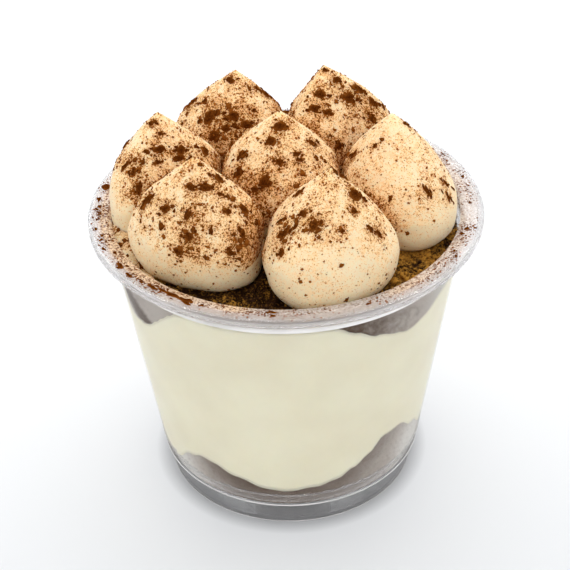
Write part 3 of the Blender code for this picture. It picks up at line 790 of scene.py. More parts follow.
class TIRAMISU_OT_cup(bpy.types.Operator):
    """Turns the clear cup with its rolled rim, steps and raised floor"""

    bl_idname = "tiramisu.cup"
    bl_label = "Cup"

    def execute(self, context):
        cup = context.scene.tiramisu_cup
        shape = bmesh.new()
        points = [shape.verts.new((0.0, -radius, height)) for radius, height in cup_outline(cup)]
        edges = [shape.edges.new(pair) for pair in zip(points, points[1:])]
        bmesh.ops.spin(
            shape, geom=points + edges, cent=(0, 0, 0), axis=(0, 0, 1), dvec=(0, 0, 0),
            angle=math.tau, steps=cup.sides, use_merge=True,
        )
        bmesh.ops.remove_doubles(shape, verts=shape.verts, dist=0.005 * MM)
        bmesh.ops.recalc_face_normals(shape, faces=shape.faces)
        mesh = bpy.data.meshes.new("clear_cup")
        shape.to_mesh(mesh)
        shape.free()
        set_values(mesh, "dust", [rim_film(vert.co, cup) for vert in mesh.vertices])
        # Painted highlights along the folds of the outer face
        set_values(mesh, "painted_fold_highlight", [fold_highlight_share(vert.co) for vert in mesh.vertices])
        plain_object("clear_cup", mesh, clear_pet(), "clear_plastic", "cup")
        mesh.set_sharp_from_angle(angle=math.radians(33))
        return {"FINISHED"}


def base_top(azimuth, share, layers):
    """Upper face of the lower sponge, at this share of the way from the middle to the wall."""
    edge = edge_height(azimuth, BASE_EDGE) + roughness(heading(azimuth) * 35 * MM, 4 * MM) * 0.5 * MM
    return layers.base_middle + (edge - layers.base_middle) * share**3


def cream_top(azimuth, share, layers):
    """Upper face of the cream layer, which climbs the wall at the front."""
    edge = edge_height(azimuth, CREAM_EDGE)
    edge += roughness(heading(azimuth) * 42 * MM, 5 * MM, 3) * 0.7 * MM
    return layers.cream_middle + (edge - layers.cream_middle) * share**4


def crumb_top(azimuth, share):
    """Level of the crumb under its roughness, rounded down at the right where it leaves the wall."""
    edge = held((share - CRUMB_EDGE) / (1.0 - CRUMB_EDGE))
    return CRUMB_LEVEL + waves(azimuth, CRUMB_DROP) * edge * edge


def layer_mesh(name, bottom, top, context, inset=0.0, top_relief=None, rows=24):
    """A layer between two faces, with its side just inside the wall less the inset."""
    cup, layers = context.scene.tiramisu_cup, context.scene.tiramisu_layers
    azimuths = [math.tau * i / LAYER_SIDES for i in range(LAYER_SIDES)]
    shares = [0.15, 0.3, 0.45, 0.6, 0.7, 0.78, 0.85, 0.9, 0.94, 0.97, 0.985, 0.995]

    def place(azimuth, height, share):
        reach = (room_radius(height, cup, layers.into_wall) - inset) * share
        return heading(azimuth) * reach + lifted(height)

    under = [[place(a, bottom(a, s), s) for a in azimuths] for s in shares]
    side = []
    for row in range(rows + 1):
        ring = []
        for azimuth in azimuths:
            low, high = bottom(azimuth, 1.0), top(azimuth, 1.0)
            ring.append(place(azimuth, low + (high - low) * row / rows, 1.0))
        side.append(ring)
    over = [[place(a, top(a, s), s) for a in azimuths] for s in reversed(shares)]
    if top_relief:
        over = [[p + lifted(top_relief(p)) for p in ring] for ring in over]
    middle_low, middle_high = bottom(0.0, 0.0), top(0.0, 0.0)
    return ring_mesh(name, under + side + over, (0, 0, middle_low), (0, 0, middle_high))


class TIRAMISU_OT_base_sponge(bpy.types.Operator):
    """Lays the soaked sponge on the cup's floor"""

    bl_idname = "tiramisu.base_sponge"
    bl_label = "Base sponge"

    def execute(self, context):
        layers = context.scene.tiramisu_layers
        floor = FLOOR_TOP - 0.1 * MM
        mesh = layer_mesh(
            "soaked_base_sponge", lambda a, s: floor, lambda a, s: base_top(a, s, layers) + TUCK,
            context, inset=SPONGE_INSET,
        )
        film = []
        for vert in mesh.vertices:
            azimuth = azimuth_of(vert.co)
            depth = (edge_height(azimuth, BASE_EDGE) - vert.co.z) / (8 * MM)
            film.append(0.35 + waves(azimuth, BASE_FILM_AND_REFLECTION) + 0.4 * held(depth))
        set_values(mesh, "film", film)
        material = wall_sponge(context.scene.tiramisu_colours)
        plain_object("soaked_base_sponge", mesh, material, "coffee_sponge", "base_sponge")
        return {"FINISHED"}


class TIRAMISU_OT_cream_layer(bpy.types.Operator):
    """Fills the cup with the thick cream layer"""

    bl_idname = "tiramisu.cream_layer"
    bl_label = "Cream layer"

    def execute(self, context):
        layers = context.scene.tiramisu_layers
        mesh = layer_mesh(
            "mascarpone_layer", lambda a, s: base_top(a, s, layers),
            lambda a, s: cream_top(a, s, layers), context, rows=40,
        )
        material = layer_cream(context.scene.tiramisu_colours)
        plain_object("mascarpone_layer", mesh, material, "cream", "cream_layer")
        return {"FINISHED"}


def crumb_relief(point):
    """Height of the torn crumb over its level."""
    coarse = roughness(point, 3.0 * MM, 11)
    fine = roughness(point, 1.2 * MM, 13)
    return (coarse * 2.0 + fine * 1.1 - 0.3) * MM


def soaked_streak(azimuth, height):
    """How much coffee darkens the left wedge here, in a streak that leans down to the right."""
    lowered = (STREAK_HEIGHT - height) / MM
    away = math.degrees(azimuth) - (STREAK_AZIMUTH + STREAK_LEAN * lowered)
    return 1.5 * math.exp(-((away / STREAK_HALF_WIDTH) ** 6))


class TIRAMISU_OT_top_sponge(bpy.types.Operator):
    """Lays the crumbled sponge on the cream and scatters loose crumbs on it"""

    bl_idname = "tiramisu.top_sponge"
    bl_label = "Top sponge"

    def execute(self, context):
        scene = context.scene
        layers = scene.tiramisu_layers
        mesh = layer_mesh(
            "crumbled_top_sponge", lambda a, s: cream_top(a, s, layers) - TUCK, crumb_top, context,
            inset=SPONGE_INSET, top_relief=crumb_relief, rows=16,
        )
        side, tone, film = [], [], []
        for vert in mesh.vertices:
            out = math.hypot(vert.co.x, vert.co.y)
            wall = room_radius(vert.co.z, scene.tiramisu_cup, layers.into_wall)
            side.append(held((out - wall + 0.6 * MM) / (0.4 * MM)))
            azimuth = azimuth_of(vert.co)
            # Random tone, with painted shade at the front where the dollops overhang the crumb
            tone.append(0.5 + 1.0 * roughness(vert.co, 4.5 * MM, 17) + waves(azimuth, CRUMB_TONE_AND_SHADE))
            film.append(0.75 + waves(azimuth, TOP_FILM) - soaked_streak(azimuth, vert.co.z))
        set_values(mesh, "side", side)
        set_values(mesh, "tone", tone)
        set_values(mesh, "film", film)
        material = crumb_sponge(scene.tiramisu_colours)
        piece = plain_object("crumbled_top_sponge", mesh, material, "coffee_crumb", "top_sponge")
        loose_crumbs(context, piece, material)
        return {"FINISHED"}


def lump_shapes(name, count, subdivisions, flatness, rng):
    """Small uneven lumps one unit wide, kept in a collection of their own for scattering."""
    group = bpy.data.collections.new(name)
    for index in range(count):
        shape = bmesh.new()
        bmesh.ops.create_icosphere(shape, subdivisions=subdivisions, radius=0.5)
        seed = rng.uniform(0, 50)
        for vert in shape.verts:
            swell = 1.0 + 0.9 * noise.noise(vert.co * 3.0 + Vector((seed, 0, 0)))
            swell += 0.6 * noise.noise(vert.co * 7.0 + Vector((seed, 5, 0)))
            vert.co = Vector((vert.co.x, vert.co.y * 0.8, vert.co.z * flatness)) * swell
        mesh = bpy.data.meshes.new(f"{name}_{index}")
        shape.to_mesh(mesh)
        shape.free()
        group.objects.link(bpy.data.objects.new(f"{name}_{index}", mesh))
    return group


def stored(tree, name):
    """The number stored on the shape under this name."""
    node = add(tree, "GeometryNodeInputNamedAttribute", {"Name": name}, data_type="FLOAT")
    return node.outputs["Attribute"]


def scatter_tree(name, group, material):
    """Nodes that scatter the group's lumps over a surface, by its density attribute."""
    tree = bpy.data.node_groups.new(name, "GeometryNodeTree")
    sockets = (
        ("Geometry", "NodeSocketGeometry"), ("Density", "NodeSocketFloat"),
        ("Smallest", "NodeSocketFloat"), ("Widest", "NodeSocketFloat"),
        ("Bias", "NodeSocketFloat"), ("Seed", "NodeSocketInt"),
        ("Least Tone", "NodeSocketFloat"), ("Most Tone", "NodeSocketFloat"),
    )
    for label, kind in sockets:
        tree.interface.new_socket(label, in_out="INPUT", socket_type=kind)
    tree.interface.new_socket("Geometry", in_out="OUTPUT", socket_type="NodeSocketGeometry")
    given = add(tree, "NodeGroupInput").outputs
    dense = multiply(tree, stored(tree, "density"), given["Density"])
    spots = add(
        tree, "GeometryNodeDistributePointsOnFaces",
        {"Mesh": given["Geometry"], "Density": dense, "Seed": given["Seed"]},
    )
    chance = add(tree, "FunctionNodeRandomValue", {"Seed": given["Seed"]}, data_type="FLOAT")
    share = add(tree, "ShaderNodeMath", {0: chance.outputs[1], 1: given["Bias"]}, operation="POWER")
    size = add(
        tree, "ShaderNodeMapRange",
        {"Value": share.outputs[0], "To Min": given["Smallest"], "To Max": given["Widest"]},
    )
    spin = add(tree, "FunctionNodeRandomValue", {"Seed": given["Seed"]}, data_type="FLOAT_VECTOR")
    spin.inputs["Min"].default_value = (-0.35, -0.35, 0.0)
    spin.inputs["Max"].default_value = (0.35, 0.35, math.tau)
    turned = add(
        tree, "FunctionNodeRotateRotation",
        {"Rotation": spots.outputs["Rotation"], "Rotate By": spin.outputs[0]},
        rotation_space="LOCAL",
    )
    lumps = add(
        tree, "GeometryNodeCollectionInfo",
        {"Collection": group, "Separate Children": True, "Reset Children": True},
    )
    placed = add(
        tree, "GeometryNodeInstanceOnPoints",
        {
            "Points": spots.outputs["Points"], "Instance": lumps.outputs[0],
            "Pick Instance": True, "Rotation": turned.outputs["Rotation"],
            "Scale": size.outputs["Result"],
        },
    )
    own = add(
        tree, "FunctionNodeRandomValue",
        {2: given["Least Tone"], 3: given["Most Tone"], "Seed": 77}, data_type="FLOAT",
    )
    mixed = add_up(tree, stored(tree, "tone"), own.outputs[1])
    toned = add(
        tree, "GeometryNodeStoreNamedAttribute",
        {"Geometry": placed.outputs["Instances"], "Name": "tone", "Value": mixed},
        data_type="FLOAT", domain="INSTANCE",
    )
    real = add(tree, "GeometryNodeRealizeInstances", {"Geometry": toned.outputs["Geometry"]})
    painted = add(
        tree, "GeometryNodeSetMaterial", {"Geometry": real.outputs["Geometry"], "Material": material}
    )
    add(tree, "NodeGroupOutput", {"Geometry": painted.outputs["Geometry"]})
    return tree


def scattered(name, carrier, tree, values):
    """The mesh that the scatter makes on the carrier, as a plain mesh."""
    modifier = carrier.modifiers.new(name, "NODES")
    modifier.node_group = tree
    for item in tree.interface.items_tree:
        if item.item_type == "SOCKET" and item.in_out == "INPUT" and item.name in values:
            modifier[item.identifier] = values[item.name]
    bpy.context.view_layer.update()
    graph = bpy.context.evaluated_depsgraph_get()
    mesh = bpy.data.meshes.new_from_object(carrier.evaluated_get(graph))
    mesh.name = name
    carrier.modifiers.remove(modifier)
    return mesh


def density_for(mesh, weights, wanted):
    """Points for each square metre where the weight is one, so that about this many are made."""
    total = 0.0
    for face in mesh.polygons:
        total += face.area * sum(weights[i] for i in face.vertices) / len(face.vertices)
    return wanted / max(total, 1e-9)


def sift(name, carrier, weights, group, material, wanted, sizes, tones, bias, seed, slot):
    """Scatters about the wanted number of the group's grains on the carrier, as one piece.

    The weights say how thickly they lie at each point. Sizes and tones are the least and the most
    of each, and the bias makes small grains the more common.
    """
    mesh = carrier.data
    set_values(mesh, "density", weights)
    tree = scatter_tree(f"{name}_scatter", group, material)
    values = {
        "Density": density_for(mesh, weights, wanted), "Smallest": sizes[0], "Widest": sizes[1],
        "Bias": bias, "Seed": seed, "Least Tone": tones[0], "Most Tone": tones[1],
    }
    return plain_object(name, scattered(name, carrier, tree, values), material, slot)


def outline(name, turn):
    """Radius of the dollop's outline where it is widest, in this direction from its middle."""
    radius, two_lobes, three_lobes = DOLLOPS[name][1], *DOLLOPS[name][4:]
    lobes = two_lobes[0] * math.cos(2 * turn) + two_lobes[1] * math.sin(2 * turn)
    lobes += three_lobes[0] * math.cos(3 * turn) + three_lobes[1] * math.sin(3 * turn)
    return radius * MM * (1.0 + lobes)


def middle(name):
    x, y = DOLLOPS[name][0]
    return Vector((x * MM, y * MM, 0.0))


def beside(name, place):
    """How far outside the dollop's outline this place is, less than nothing under the dollop."""
    across = Vector((place[0], place[1], 0.0)) - middle(name)
    return across.length - outline(name, math.atan2(across.y, across.x))


def loose_crumbs(context, piece, material):
    """Scatters crumbs on the upper sponge where it shows between the dollops."""
    layers = context.scene.tiramisu_layers
    mesh = piece.data
    weights = []
    for vert in mesh.vertices:
        near = min(beside(name, vert.co) for name in DOLLOPS)
        on_top = vert.co.z > CRUMB_LEVEL - 6 * MM and vert.normal.z > 0.3
        weights.append(1.0 if on_top and near > -1.5 * MM else 0.0)
    crumbs = sift(
        "loose_sponge_crumbs", piece, weights, lump_shapes("crumb", 5, 1, 0.8, random.Random(21)),
        material, layers.crumb_count, (0.35 * MM, layers.crumb_size), (-0.3, 0.5), 2.6, 4,
        "coffee_crumb",
    )
    set_values(crumbs.data, "side", np.zeros(len(crumbs.data.vertices)))


def dollop_share(station):
    """Radius of a dollop at this share of its height, as a share of its widest radius."""
    if station < WIDEST_AT:
        return 1.0 - UNDERCUT * ((WIDEST_AT - station) / WIDEST_AT) ** UNDERCUT_POWER
    rise = (station - WIDEST_AT) / (1.0 - WIDEST_AT)
    soft = SHOULDER_SOFTNESS**SHOULDER_POWER
    drop = (rise**2 + SHOULDER_SOFTNESS**2) ** (SHOULDER_POWER / 2) - soft
    return 1.0 - drop / ((1.0 + SHOULDER_SOFTNESS**2) ** (SHOULDER_POWER / 2) - soft)


def wall_limit(place, toward, room):
    """How far from this place the cup's wall is in that direction."""
    along = place.dot(toward)
    return -along + math.sqrt(along**2 - place.length_squared + room**2)


def planes_between(name, place):
    """For each neighbour, its direction and how far from this place the plane that parts them is."""
    for other in DOLLOPS:
        if other == name:
            continue
        across = middle(other) - middle(name)
        apart, toward = across.length, across.normalized()
        widest, others = DOLLOPS[name][1] * MM, DOLLOPS[other][1] * MM
        share = (apart**2 + widest**2 - others**2) / (2 * apart)
        yield toward, share - (place - middle(name)).dot(toward)


def neighbour_limits(name, place, toward):
    """How far from this place, in this direction, the dollop's neighbours stop it."""
    for across, reach in planes_between(name, place):
        if across.dot(toward) >= 0.05:
            yield reach / across.dot(toward)


def dollop_point(name, station, turn, ripple=0.0):
    """A point of the dollop's face, pressed in where a neighbour or the wall stops it."""
    height, lean = DOLLOPS[name][2:4]
    place = middle(name) + Vector((lean[0], lean[1], 0.0)) * MM * station**2
    free = outline(name, turn) * dollop_share(station)
    toward = Vector((math.cos(turn), math.sin(turn), 0.0))
    room = HIGH_STEP_RADIUS - CAD_WALL
    limits = [wall_limit(place, toward, room), *neighbour_limits(name, place, toward)]
    squeezed = sum((free / limit) ** SQUEEZE_POWER for limit in limits)
    reach = free * (1.0 + squeezed) ** (-1.0 / SQUEEZE_POWER)
    point = place + toward * reach + lifted(DOLLOP_BASE + height * MM * station)
    if ripple:
        soft = roughness(point, 7 * MM, 23) + 0.4 * roughness(point, 3 * MM, 29)
        point += toward * soft * ripple * min(1.0, 3 * (1.0 - station))
    return point


def in_valley(name, point):
    """How close the point is to where the dollop is pressed against another, from nothing to one."""
    closest = 0.0
    for across, gap in planes_between(name, point):
        along = (point - middle(name)).cross(across).z
        if abs(along) < VALLEY_HALF_LENGTH:
            closest = max(closest, 1.0 - max(gap, 0.0) / VALLEY_REACH)
    return closest


def dust_at(name, point, normal, clumps, patches):
    """How thickly the sifted cocoa lies here: on what faces up, and round the large clumps."""
    strength, begin, fade, least = DUSTING[name]
    station = (point.z - DOLLOP_BASE) / (DOLLOPS[name][2] * MM)
    rise = held((station - begin) / fade)
    facing = held((normal.z + 0.1) / 0.5)
    patchy = 0.92 + 0.55 * roughness(point, 6 * MM, 31) + 0.5 * roughness(point, 2.2 * MM, 33)
    level = strength * rise * rise * (3 - 2 * rise) * (0.55 + 0.45 * facing)
    for spot, reach, change in patches:
        level += change * math.exp(-(((point - spot).length / reach) ** 2))
    # More dust in the valleys between dollops: real cocoa, and painted shade in the crease
    if point.z > DOLLOP_BASE + VALLEY_BOTTOM:
        level += VALLEY_DUST_AND_SHADE * in_valley(name, point)
    level = max(level, least) * patchy
    for spot, reach in clumps:
        away = (point - spot).length / reach
        level += 0.5 * math.exp(-(away**3)) if away < 3 else 0.0
    return held(level, 0.0, 1.3)


class TIRAMISU_OT_dollops(bpy.types.Operator):
    """Pipes the seven dollops of cream, pressed together, with their film of cocoa"""

    bl_idname = "tiramisu.dollops"
    bl_label = "Dollops"

    def execute(self, context):
        scene = context.scene
        sizes = scene.tiramisu_dollops
        material = dusted_cream(scene.tiramisu_colours)
        for name, (_, _, height, lean, _, _) in DOLLOPS.items():
            turns = [math.tau * i / sizes.sides for i in range(sizes.sides)]
            stations = [0.985 * (row / sizes.rows) ** 0.9 for row in range(sizes.rows + 1)]
            rings = [[dollop_point(name, s, t, sizes.ripple) for t in turns] for s in stations]
            sunk = middle(name) + lifted(DOLLOP_BASE - 0.4 * MM)
            tip = middle(name) + Vector((lean[0], lean[1], 0.0)) * MM
            tip.z = DOLLOP_BASE + height * MM
            mesh = ring_mesh(f"piped_{name}", rings, sunk, tip)
            clumps, patches = [], []
            for turn, station, across, along in CLUMPS[name]:
                spot = dollop_point(name, station, math.radians(turn))
                clumps.append((spot, (math.sqrt(across * along) / 2 + 0.7) * MM))
            for turn, station, reach, change in DUST_PATCHES[name]:
                spot = dollop_point(name, station, math.radians(turn))
                patches.append((spot, reach * MM, change))
            dust = [dust_at(name, v.co, v.normal, clumps, patches) for v in mesh.vertices]
            set_values(mesh, "dust", dust)
            plain_object(f"piped_{name}", mesh, material, "piped_cream", f"dollop_{name}")
        return {"FINISHED"}


def joined(names, label):
    """One mesh of these pieces, which carries a scatter and isn't shown."""
    shape = bmesh.new()
    for name in names:
        shape.from_mesh(bpy.data.objects[name].data)
    mesh = bpy.data.meshes.new(label)
    shape.to_mesh(mesh)
    shape.free()
    return linked(label, mesh)


def warp(x, y, seed):
    """A soft shift of a place on a clump's plane, which makes its outline lobed and torn."""
    total = Vector((0.0, 0.0, 0.0))
    for size, strength in ((1.6 * MM, 0.42 * MM), (0.6 * MM, 0.2 * MM)):
        total += noise.noise_vector(Vector((x / size, y / size, seed))) * strength
    return total


def ragged_patch(ground, spot, across, along, rise, seed, sectors=28, rings=6):
    """Points, faces and tones of a thin ragged clump that hugs the ground at this spot."""
    place, normal, _, _ = ground.find_nearest(spot)
    down = Vector((0.0, 0.0, -1.0))
    slope = down - normal * down.dot(normal)
    if slope.length < 0.5:
        slope = Vector((place.y, -place.x, 0.0))
    slope.normalize()
    side = slope.cross(normal)
    soft = min(1.0, min(across, along) / (1.6 * MM))
    points, tones = [], []
    for layer in (1, -1):
        for ring in range(1, rings + 1 if layer > 0 else rings):
            share = ring / rings
            for i in range(sectors):
                turn = math.tau * i / sectors
                x, y = math.cos(turn) * across * share / 2, math.sin(turn) * along * share / 2
                shift = warp(x, y, seed) * soft
                near, out, _, _ = ground.find_nearest(
                    place + side * (x + shift.x) + slope * (y + shift.y)
                )
                lumpy = 0.6 * noise.noise(near / (0.55 * MM)) + 0.35 * noise.noise(near / (1.5 * MM))
                lift = rise * (1 - share**2 + lumpy * min(2 * share, 1.0))
                lift = max(lift, 0.0) if layer > 0 else -2 * CLUMP_SINK
                points.append(near + out * (lift - CLUMP_SINK))
                tones.append(0.05 + 0.85 * share**2.6)
    points += [points[0] + normal * 0.1 * rise, points[rings * sectors] - normal * 0.02 * MM]
    tones += [0.05, 0.05]
    low = rings * sectors
    faces = []
    for i in range(sectors):
        j = (i + 1) % sectors
        faces.append((i, j, len(points) - 2))
        faces.append((low + j, low + i, len(points) - 1))
        for ring in range(rings - 1):
            inner, outer = ring * sectors, (ring + 1) * sectors
            faces.append((outer + i, outer + j, inner + j, inner + i))
        for ring in range(rings - 2):
            inner, outer = low + ring * sectors, low + (ring + 1) * sectors
            faces.append((inner + i, inner + j, outer + j, outer + i))
        last, edge = low + (rings - 2) * sectors, (rings - 1) * sectors
        faces.append((last + i, last + j, edge + j, edge + i))
    return points, faces, tones


def broken_up(spots, seed):
    """The clumps with small ones added round each, most of them touching it."""
    rng = random.Random(seed)
    kept, scraps, nearness = 0.82, 5, 0.62
    more = []
    for spot, across, along in spots:
        more.append((spot, across * kept, along * kept, 28, 6))
        for _ in range(scraps):
            turn, away = rng.uniform(0, math.tau), rng.uniform(0.5, 1.5)
            size = rng.uniform(0.16, 0.42)
            rise = math.sin(turn) * along
            shift = Vector((math.cos(turn) * across, -0.5 * rise, rise))
            more.append((spot + shift * away * nearness, across * size, along * size, 14, 3))
    return more


def clump_piece(name, ground, spots, rise, material):
    """One mesh of ragged clumps of cocoa, each given as spot, width and length."""
    noise.seed_set(CLUMP_SEED)
    points, faces, tones = [], [], []
    for seed, (spot, across, along, sectors, rings) in enumerate(broken_up(spots, CLUMP_SEED)):
        more, corners, more_tones = ragged_patch(
            ground, spot, across, along, rise, seed * 3.7, sectors, rings
        )
        faces += [tuple(len(points) + i for i in face) for face in corners]
        points += [tuple(p) for p in more]
        tones += more_tones
    mesh = bpy.data.meshes.new(name)
    mesh.from_pydata(points, [], faces)
    fix_normals(mesh)
    set_values(mesh, "tone", tones)
    plain_object(name, mesh, material, "piped_cream")


def spots_at(rows, height):
    """The clumps of these rows, each as spot, width and length, at this height."""
    return [
        (heading(math.radians(azimuth)) * radius * MM + lifted(height), across * MM, along * MM)
        for azimuth, radius, across, along in rows
    ]


def ground_of(carrier):
    """The carrier's faces, to find the nearest place on them."""
    points = [vert.co for vert in carrier.data.vertices]
    faces = [tuple(face.vertices) for face in carrier.data.polygons]
    return BVHTree.FromPolygons(points, faces)


class TIRAMISU_OT_cocoa(bpy.types.Operator):
    """Sifts cocoa over the dollops: fine grains and damp clumps"""

    bl_idname = "tiramisu.cocoa"
    bl_label = "Cocoa"

    def execute(self, context):
        scene = context.scene
        sizes = scene.tiramisu_cocoa
        material = cocoa_powder(scene.tiramisu_colours)
        carrier = joined([*(f"piped_{name}" for name in DOLLOPS), "squeezed_cream"], "cocoa_carrier")
        spots = []
        for name, clumps in CLUMPS.items():
            for turn, station, across, along in clumps:
                spot = dollop_point(name, station, math.radians(turn))
                spots.append((spot, across * MM, along * MM))
        spots += spots_at(SMEAR_CLUMPS, CRUMB_LEVEL + 2 * MM)
        clump_piece("cocoa_clumps", ground_of(carrier), spots, sizes.thickness, material)
        mesh = carrier.data
        dust = np.empty(len(mesh.vertices), np.float32)
        mesh.attributes["dust"].data.foreach_get("value", dust)
        grains = lump_shapes("grain", 6, 1, 0.4, random.Random(sizes.seed))
        sift(
            "cocoa_grains", carrier, dust**1.7, grains, material, sizes.grain_count,
            (sizes.smallest, sizes.widest), (0.6, 1.4), 2.2, sizes.seed, "piped_cream",
        )
        lumps = lump_shapes("lump", 9, 2, 0.3, random.Random(sizes.seed + 1))
        sift(
            "cocoa_lumps", carrier, dust**2.2, lumps, material, sizes.lump_count,
            (0.6 * sizes.widest, sizes.lump_widest), (0.25, 1.0), 2.4, sizes.seed + 2, "piped_cream",
        )
        bpy.data.objects.remove(carrier)
        return {"FINISHED"}


def rim_carrier(cup):
    """A fine strip up the inside of the cup's mouth and over its rim, which isn't shown."""
    mouth = HIGH_STEP_RADIUS + STEP_OUT - cup.wall
    bead_middle = cup.rim_radius - cup.bead
    climb = cup.rim_top - 0.8 * MM - CRUMB_LEVEL
    sides = 240
    section = [(mouth, CRUMB_LEVEL + climb * i / 8) for i in range(9)]
    section += [(MOUTH_RADIUS, cup.rim_top - 0.68 * MM), (mouth, cup.rim_top - 0.42 * MM)]
    section += [(mouth + (1.4 + 0.3 * i) * MM, cup.rim_top - (0.35 - 0.08 * i) * MM) for i in range(4)]
    section += arc((bead_middle, cup.rim_top - cup.bead), cup.bead, 90, 40, 4)
    around = [heading(math.tau * i / sides) for i in range(sides)]
    points = [toward * radius + lifted(height) for radius, height in section for toward in around]
    faces = []
    for row in range(len(section) - 1):
        for i in range(sides):
            j = (i + 1) % sides
            low, high = row * sides, (row + 1) * sides
            faces.append((low + i, high + i, high + j, low + j))
    mesh = bpy.data.meshes.new("rim_carrier")
    mesh.from_pydata([tuple(p) for p in points], [], faces)
    return linked("rim_carrier", mesh)


def rim_weight(point, rim_top):
    """How thickly cocoa lies on the rim and clings to the wall above the crumb."""
    out = math.hypot(point.x, point.y)
    azimuth = azimuth_of(point)
    patchy = max(0.6 + 1.3 * roughness(point, 4 * MM, 41), 0.0)
    if point.z > rim_top - 0.6 * MM:
        inward = held((DUST_END - out) / (1.8 * MM))
        return inward * (0.6 + waves(azimuth, RIM_DUST)) * patchy
    return 0.8 * patchy * held((abs(math.degrees(azimuth)) - BARE_FRONT) / 10)


class TIRAMISU_OT_rim_cocoa(bpy.types.Operator):
    """Scatters the cocoa that fell on the rim and clings to the wall"""

    bl_idname = "tiramisu.rim_cocoa"
    bl_label = "Rim cocoa"

    def execute(self, context):
        scene = context.scene
        sizes = scene.tiramisu_cocoa
        material = bpy.data.materials["cocoa_powder_sifted"]
        carrier = rim_carrier(scene.tiramisu_cup)
        spots = spots_at(RIM_CLUMPS, CUP_HIGH.z)
        clump_piece("rim_clumps", ground_of(carrier), spots, 0.3 * MM, material)
        weights = [rim_weight(vert.co, scene.tiramisu_cup.rim_top) for vert in carrier.data.vertices]
        dots = lump_shapes("speck", 4, 0, 0.35, random.Random(3))
        sift(
            "rim_grains", carrier, weights, dots, material, sizes.rim_count,
            (0.1 * MM, sizes.rim_widest), (0.3, 1.0), 3.0, sizes.seed + 1, "piped_cream",
        )
        bpy.data.objects.remove(carrier)
        return {"FINISHED"}


class TIRAMISU_OT_smear(bpy.types.Operator):
    """Lays the strip of cream that squeezed out between the left dollops and the wall"""

    bl_idname = "tiramisu.smear"
    bl_label = "Smear"

    def execute(self, context):
        scene = context.scene
        cup, layers = scene.tiramisu_cup, scene.tiramisu_layers
        first, last = (math.radians(angle) for angle in SMEAR_AZIMUTHS)
        foot = CRUMB_LEVEL + 0.2 * MM
        rings = []
        for step in range(SMEAR_STEPS + 1):
            azimuth = first + (last - first) * step / SMEAR_STEPS
            fade = 1.0 - step / SMEAR_STEPS
            swell = min(math.sin(math.pi * step / SMEAR_STEPS) ** 0.8, 1.9 * fade**1.3)
            wander = 1.0 + 0.35 * roughness(heading(azimuth) * 40 * MM, 7 * MM, 51)
            outer = room_radius(HIGH_STEP_HEIGHT, cup, layers.into_wall)
            width = max(SMEAR_WIDTH * swell * wander, 0.3 * MM)
            height = max(SMEAR_HEIGHT * swell, 0.1 * MM) + waves(azimuth, SMEAR_RIDGE)
            under = 1.2 * MM * min(swell * 1.6, 1.0)
            ring = []
            for i in range(SMEAR_SIDES):
                turn = math.tau * i / SMEAR_SIDES
                across = math.cos(turn) * (0.98 if math.cos(turn) > 0 else 1)
                reach = outer - width / 2 * (1 - across)
                on_top = 0 < i < SMEAR_SIDES // 2
                crown = height * math.sin(turn) ** 0.6 if on_top else under * math.sin(turn)
                point = heading(azimuth) * reach + lifted(foot + crown)
                point.z += roughness(point, 4 * MM, 53) * 0.5 * MM
                ring.append(point)
            rings.append(ring)
        low, high = (sum(ring, Vector()) / SMEAR_SIDES for ring in (rings[0], rings[-1]))
        mesh = ring_mesh("squeezed_cream", rings, low, high)
        fix_normals(mesh)
        ground = CRUMB_LEVEL + 0.9 * MM
        dust = []
        for vert in mesh.vertices:
            azimuth = math.degrees(azimuth_of(vert.co))
            left = held((-70 - azimuth) / 14)
            level = 0.55 + 0.55 * left + 0.8 * roughness(vert.co, 3 * MM, 57)
            dust.append(held(level, 0.1, 1.2) if vert.co.z > ground else 0.3)
        set_values(mesh, "dust", dust)
        material = bpy.data.materials["piped_cream_dusted_with_cocoa"]
        plain_object("squeezed_cream", mesh, material, "piped_cream", "cream_smear")
        return {"FINISHED"}


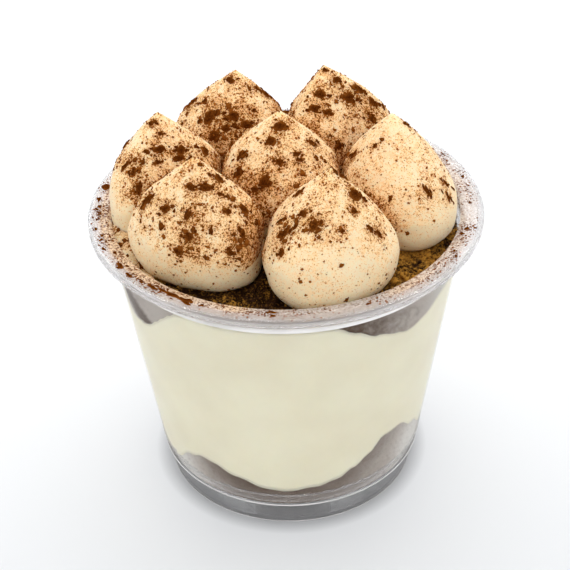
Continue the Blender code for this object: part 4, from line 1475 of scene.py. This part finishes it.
class TIRAMISU_OT_stage(bpy.types.Operator):
    """Sets the pale table, the soft lights and the camera"""

    bl_idname = "tiramisu.stage"
    bl_label = "Stage"

    def execute(self, context):
        scene = context.scene
        look = scene.tiramisu_stage
        half = 3.0
        mesh = bpy.data.meshes.new("table_top")
        corners = [(-half, -half, 0), (half, -half, 0), (half, half, 0), (-half, half, 0)]
        mesh.from_pydata(corners, [], [(0, 1, 2, 3)])
        floor = linked("table_top", mesh)
        material, tree, shader, where = new_material("matt_white_table")
        # Painted shade: the table's colour darkens towards the front, for the light falling off there
        depth = add(tree, "ShaderNodeSeparateXYZ", {"Vector": where}).outputs["Y"]
        near = linear(look.shaded_near_floor)
        shade = blend(tree, ramp(tree, depth, -0.16, 0.06), near, linear(look.floor))
        tree.links.new(shade, shader.inputs["Base Color"])
        shader.inputs["Roughness"].default_value = 0.7
        shader.inputs["Emission Color"].default_value = linear("#f8fafc")
        # Painted light: the table glows, and the glow is dimmed round the cup's foot as painted shadow
        away = add(tree, "ShaderNodeVectorMath", {0: where}, operation="LENGTH").outputs["Value"]
        painted_glow = ramp(tree, away, 31 * MM, 36 * MM, 0.05, look.glow)
        tree.links.new(painted_glow, shader.inputs["Emission Strength"])
        mesh.materials.append(material)
        world = bpy.data.worlds.new("white_room")
        world.use_nodes = True
        air = world.node_tree.nodes["Background"]
        air.inputs["Color"].default_value = (1.0, 1.0, 1.0, 1.0)
        air.inputs["Strength"].default_value = look.air
        scene.world = world
        panels = (
            ("key", (0.0, 0.3, 0.85), (0.8, 0.8), look.key_power),
            ("front", (0.0, -0.9, 0.24), (1.7, 0.46), look.fill_power),
        )
        for name, place, size, power in panels:
            lamp = bpy.data.lights.new(name, "AREA")
            lamp.shape = "RECTANGLE"
            lamp.size, lamp.size_y = size
            lamp.energy = power
            panel = linked(name, lamp)
            panel.location = place
            aim = lifted(look.aim_height) - Vector(place)
            panel.rotation_euler = aim.to_track_quat("-Z", "Y").to_euler()
        scene.view_settings.view_transform = "Standard"
        make_camera(scene, look)
        return {"FINISHED"}


def make_camera(scene, look):
    """The camera at the photograph's angle, with its slight tilt."""
    forward = Vector((0.0, math.cos(look.elevation), -math.sin(look.elevation)))
    right = Vector((1.0, 0.0, 0.0))
    up = right.cross(forward)
    tilted_right = right * math.cos(look.roll) + up * math.sin(look.roll)
    tilted_up = up * math.cos(look.roll) - right * math.sin(look.roll)
    turn = Matrix((tilted_right, tilted_up, -forward)).transposed()
    lens = bpy.data.cameras.new("camera")
    lens.sensor_width = 36.0
    lens.lens = look.focal
    lens.shift_x = look.shift
    lens.clip_start = 0.01
    camera = linked("camera", lens)
    aim = lifted(look.aim_height)
    camera.matrix_world = Matrix.Translation(aim - forward * look.distance) @ turn.to_4x4()
    scene.camera = camera


class TIRAMISU_PT_panel(bpy.types.Panel):
    """Lists the pieces of the dessert in the order they are made"""

    bl_label = "Tiramisu"
    bl_idname = "TIRAMISU_PT_panel"
    bl_space_type = "VIEW_3D"
    bl_region_type = "UI"
    bl_category = "Tiramisu"

    def draw(self, context):
        for operator in OPERATORS:
            self.layout.operator(operator.bl_idname)
        for attribute in GROUPS:
            box = self.layout.box()
            group = getattr(context.scene, attribute)
            for name in group.bl_rna.properties.keys():
                if name not in ("rna_type", "name"):
                    box.prop(group, name)


GROUPS = {
    "tiramisu_cup": CupSizes,
    "tiramisu_layers": LayerSizes,
    "tiramisu_dollops": DollopSizes,
    "tiramisu_cocoa": CocoaSizes,
    "tiramisu_colours": FoodColours,
    "tiramisu_stage": StageLook,
}
OPERATORS = (
    TIRAMISU_OT_stage,
    TIRAMISU_OT_cup,
    TIRAMISU_OT_base_sponge,
    TIRAMISU_OT_cream_layer,
    TIRAMISU_OT_top_sponge,
    TIRAMISU_OT_dollops,
    TIRAMISU_OT_smear,
    TIRAMISU_OT_cocoa,
    TIRAMISU_OT_rim_cocoa,
)


def register():
    for kind in (*GROUPS.values(), *OPERATORS, TIRAMISU_PT_panel):
        bpy.utils.register_class(kind)
    for attribute, kind in GROUPS.items():
        setattr(bpy.types.Scene, attribute, bpy.props.PointerProperty(type=kind))


def unregister():
    for attribute in GROUPS:
        delattr(bpy.types.Scene, attribute)
    for kind in reversed((*GROUPS.values(), *OPERATORS, TIRAMISU_PT_panel)):
        bpy.utils.unregister_class(kind)


def main():
    register()
    for operator in OPERATORS:
        group, name = operator.bl_idname.split(".")
        getattr(getattr(bpy.ops, group), name)()


if __name__ == "__main__":
    main()
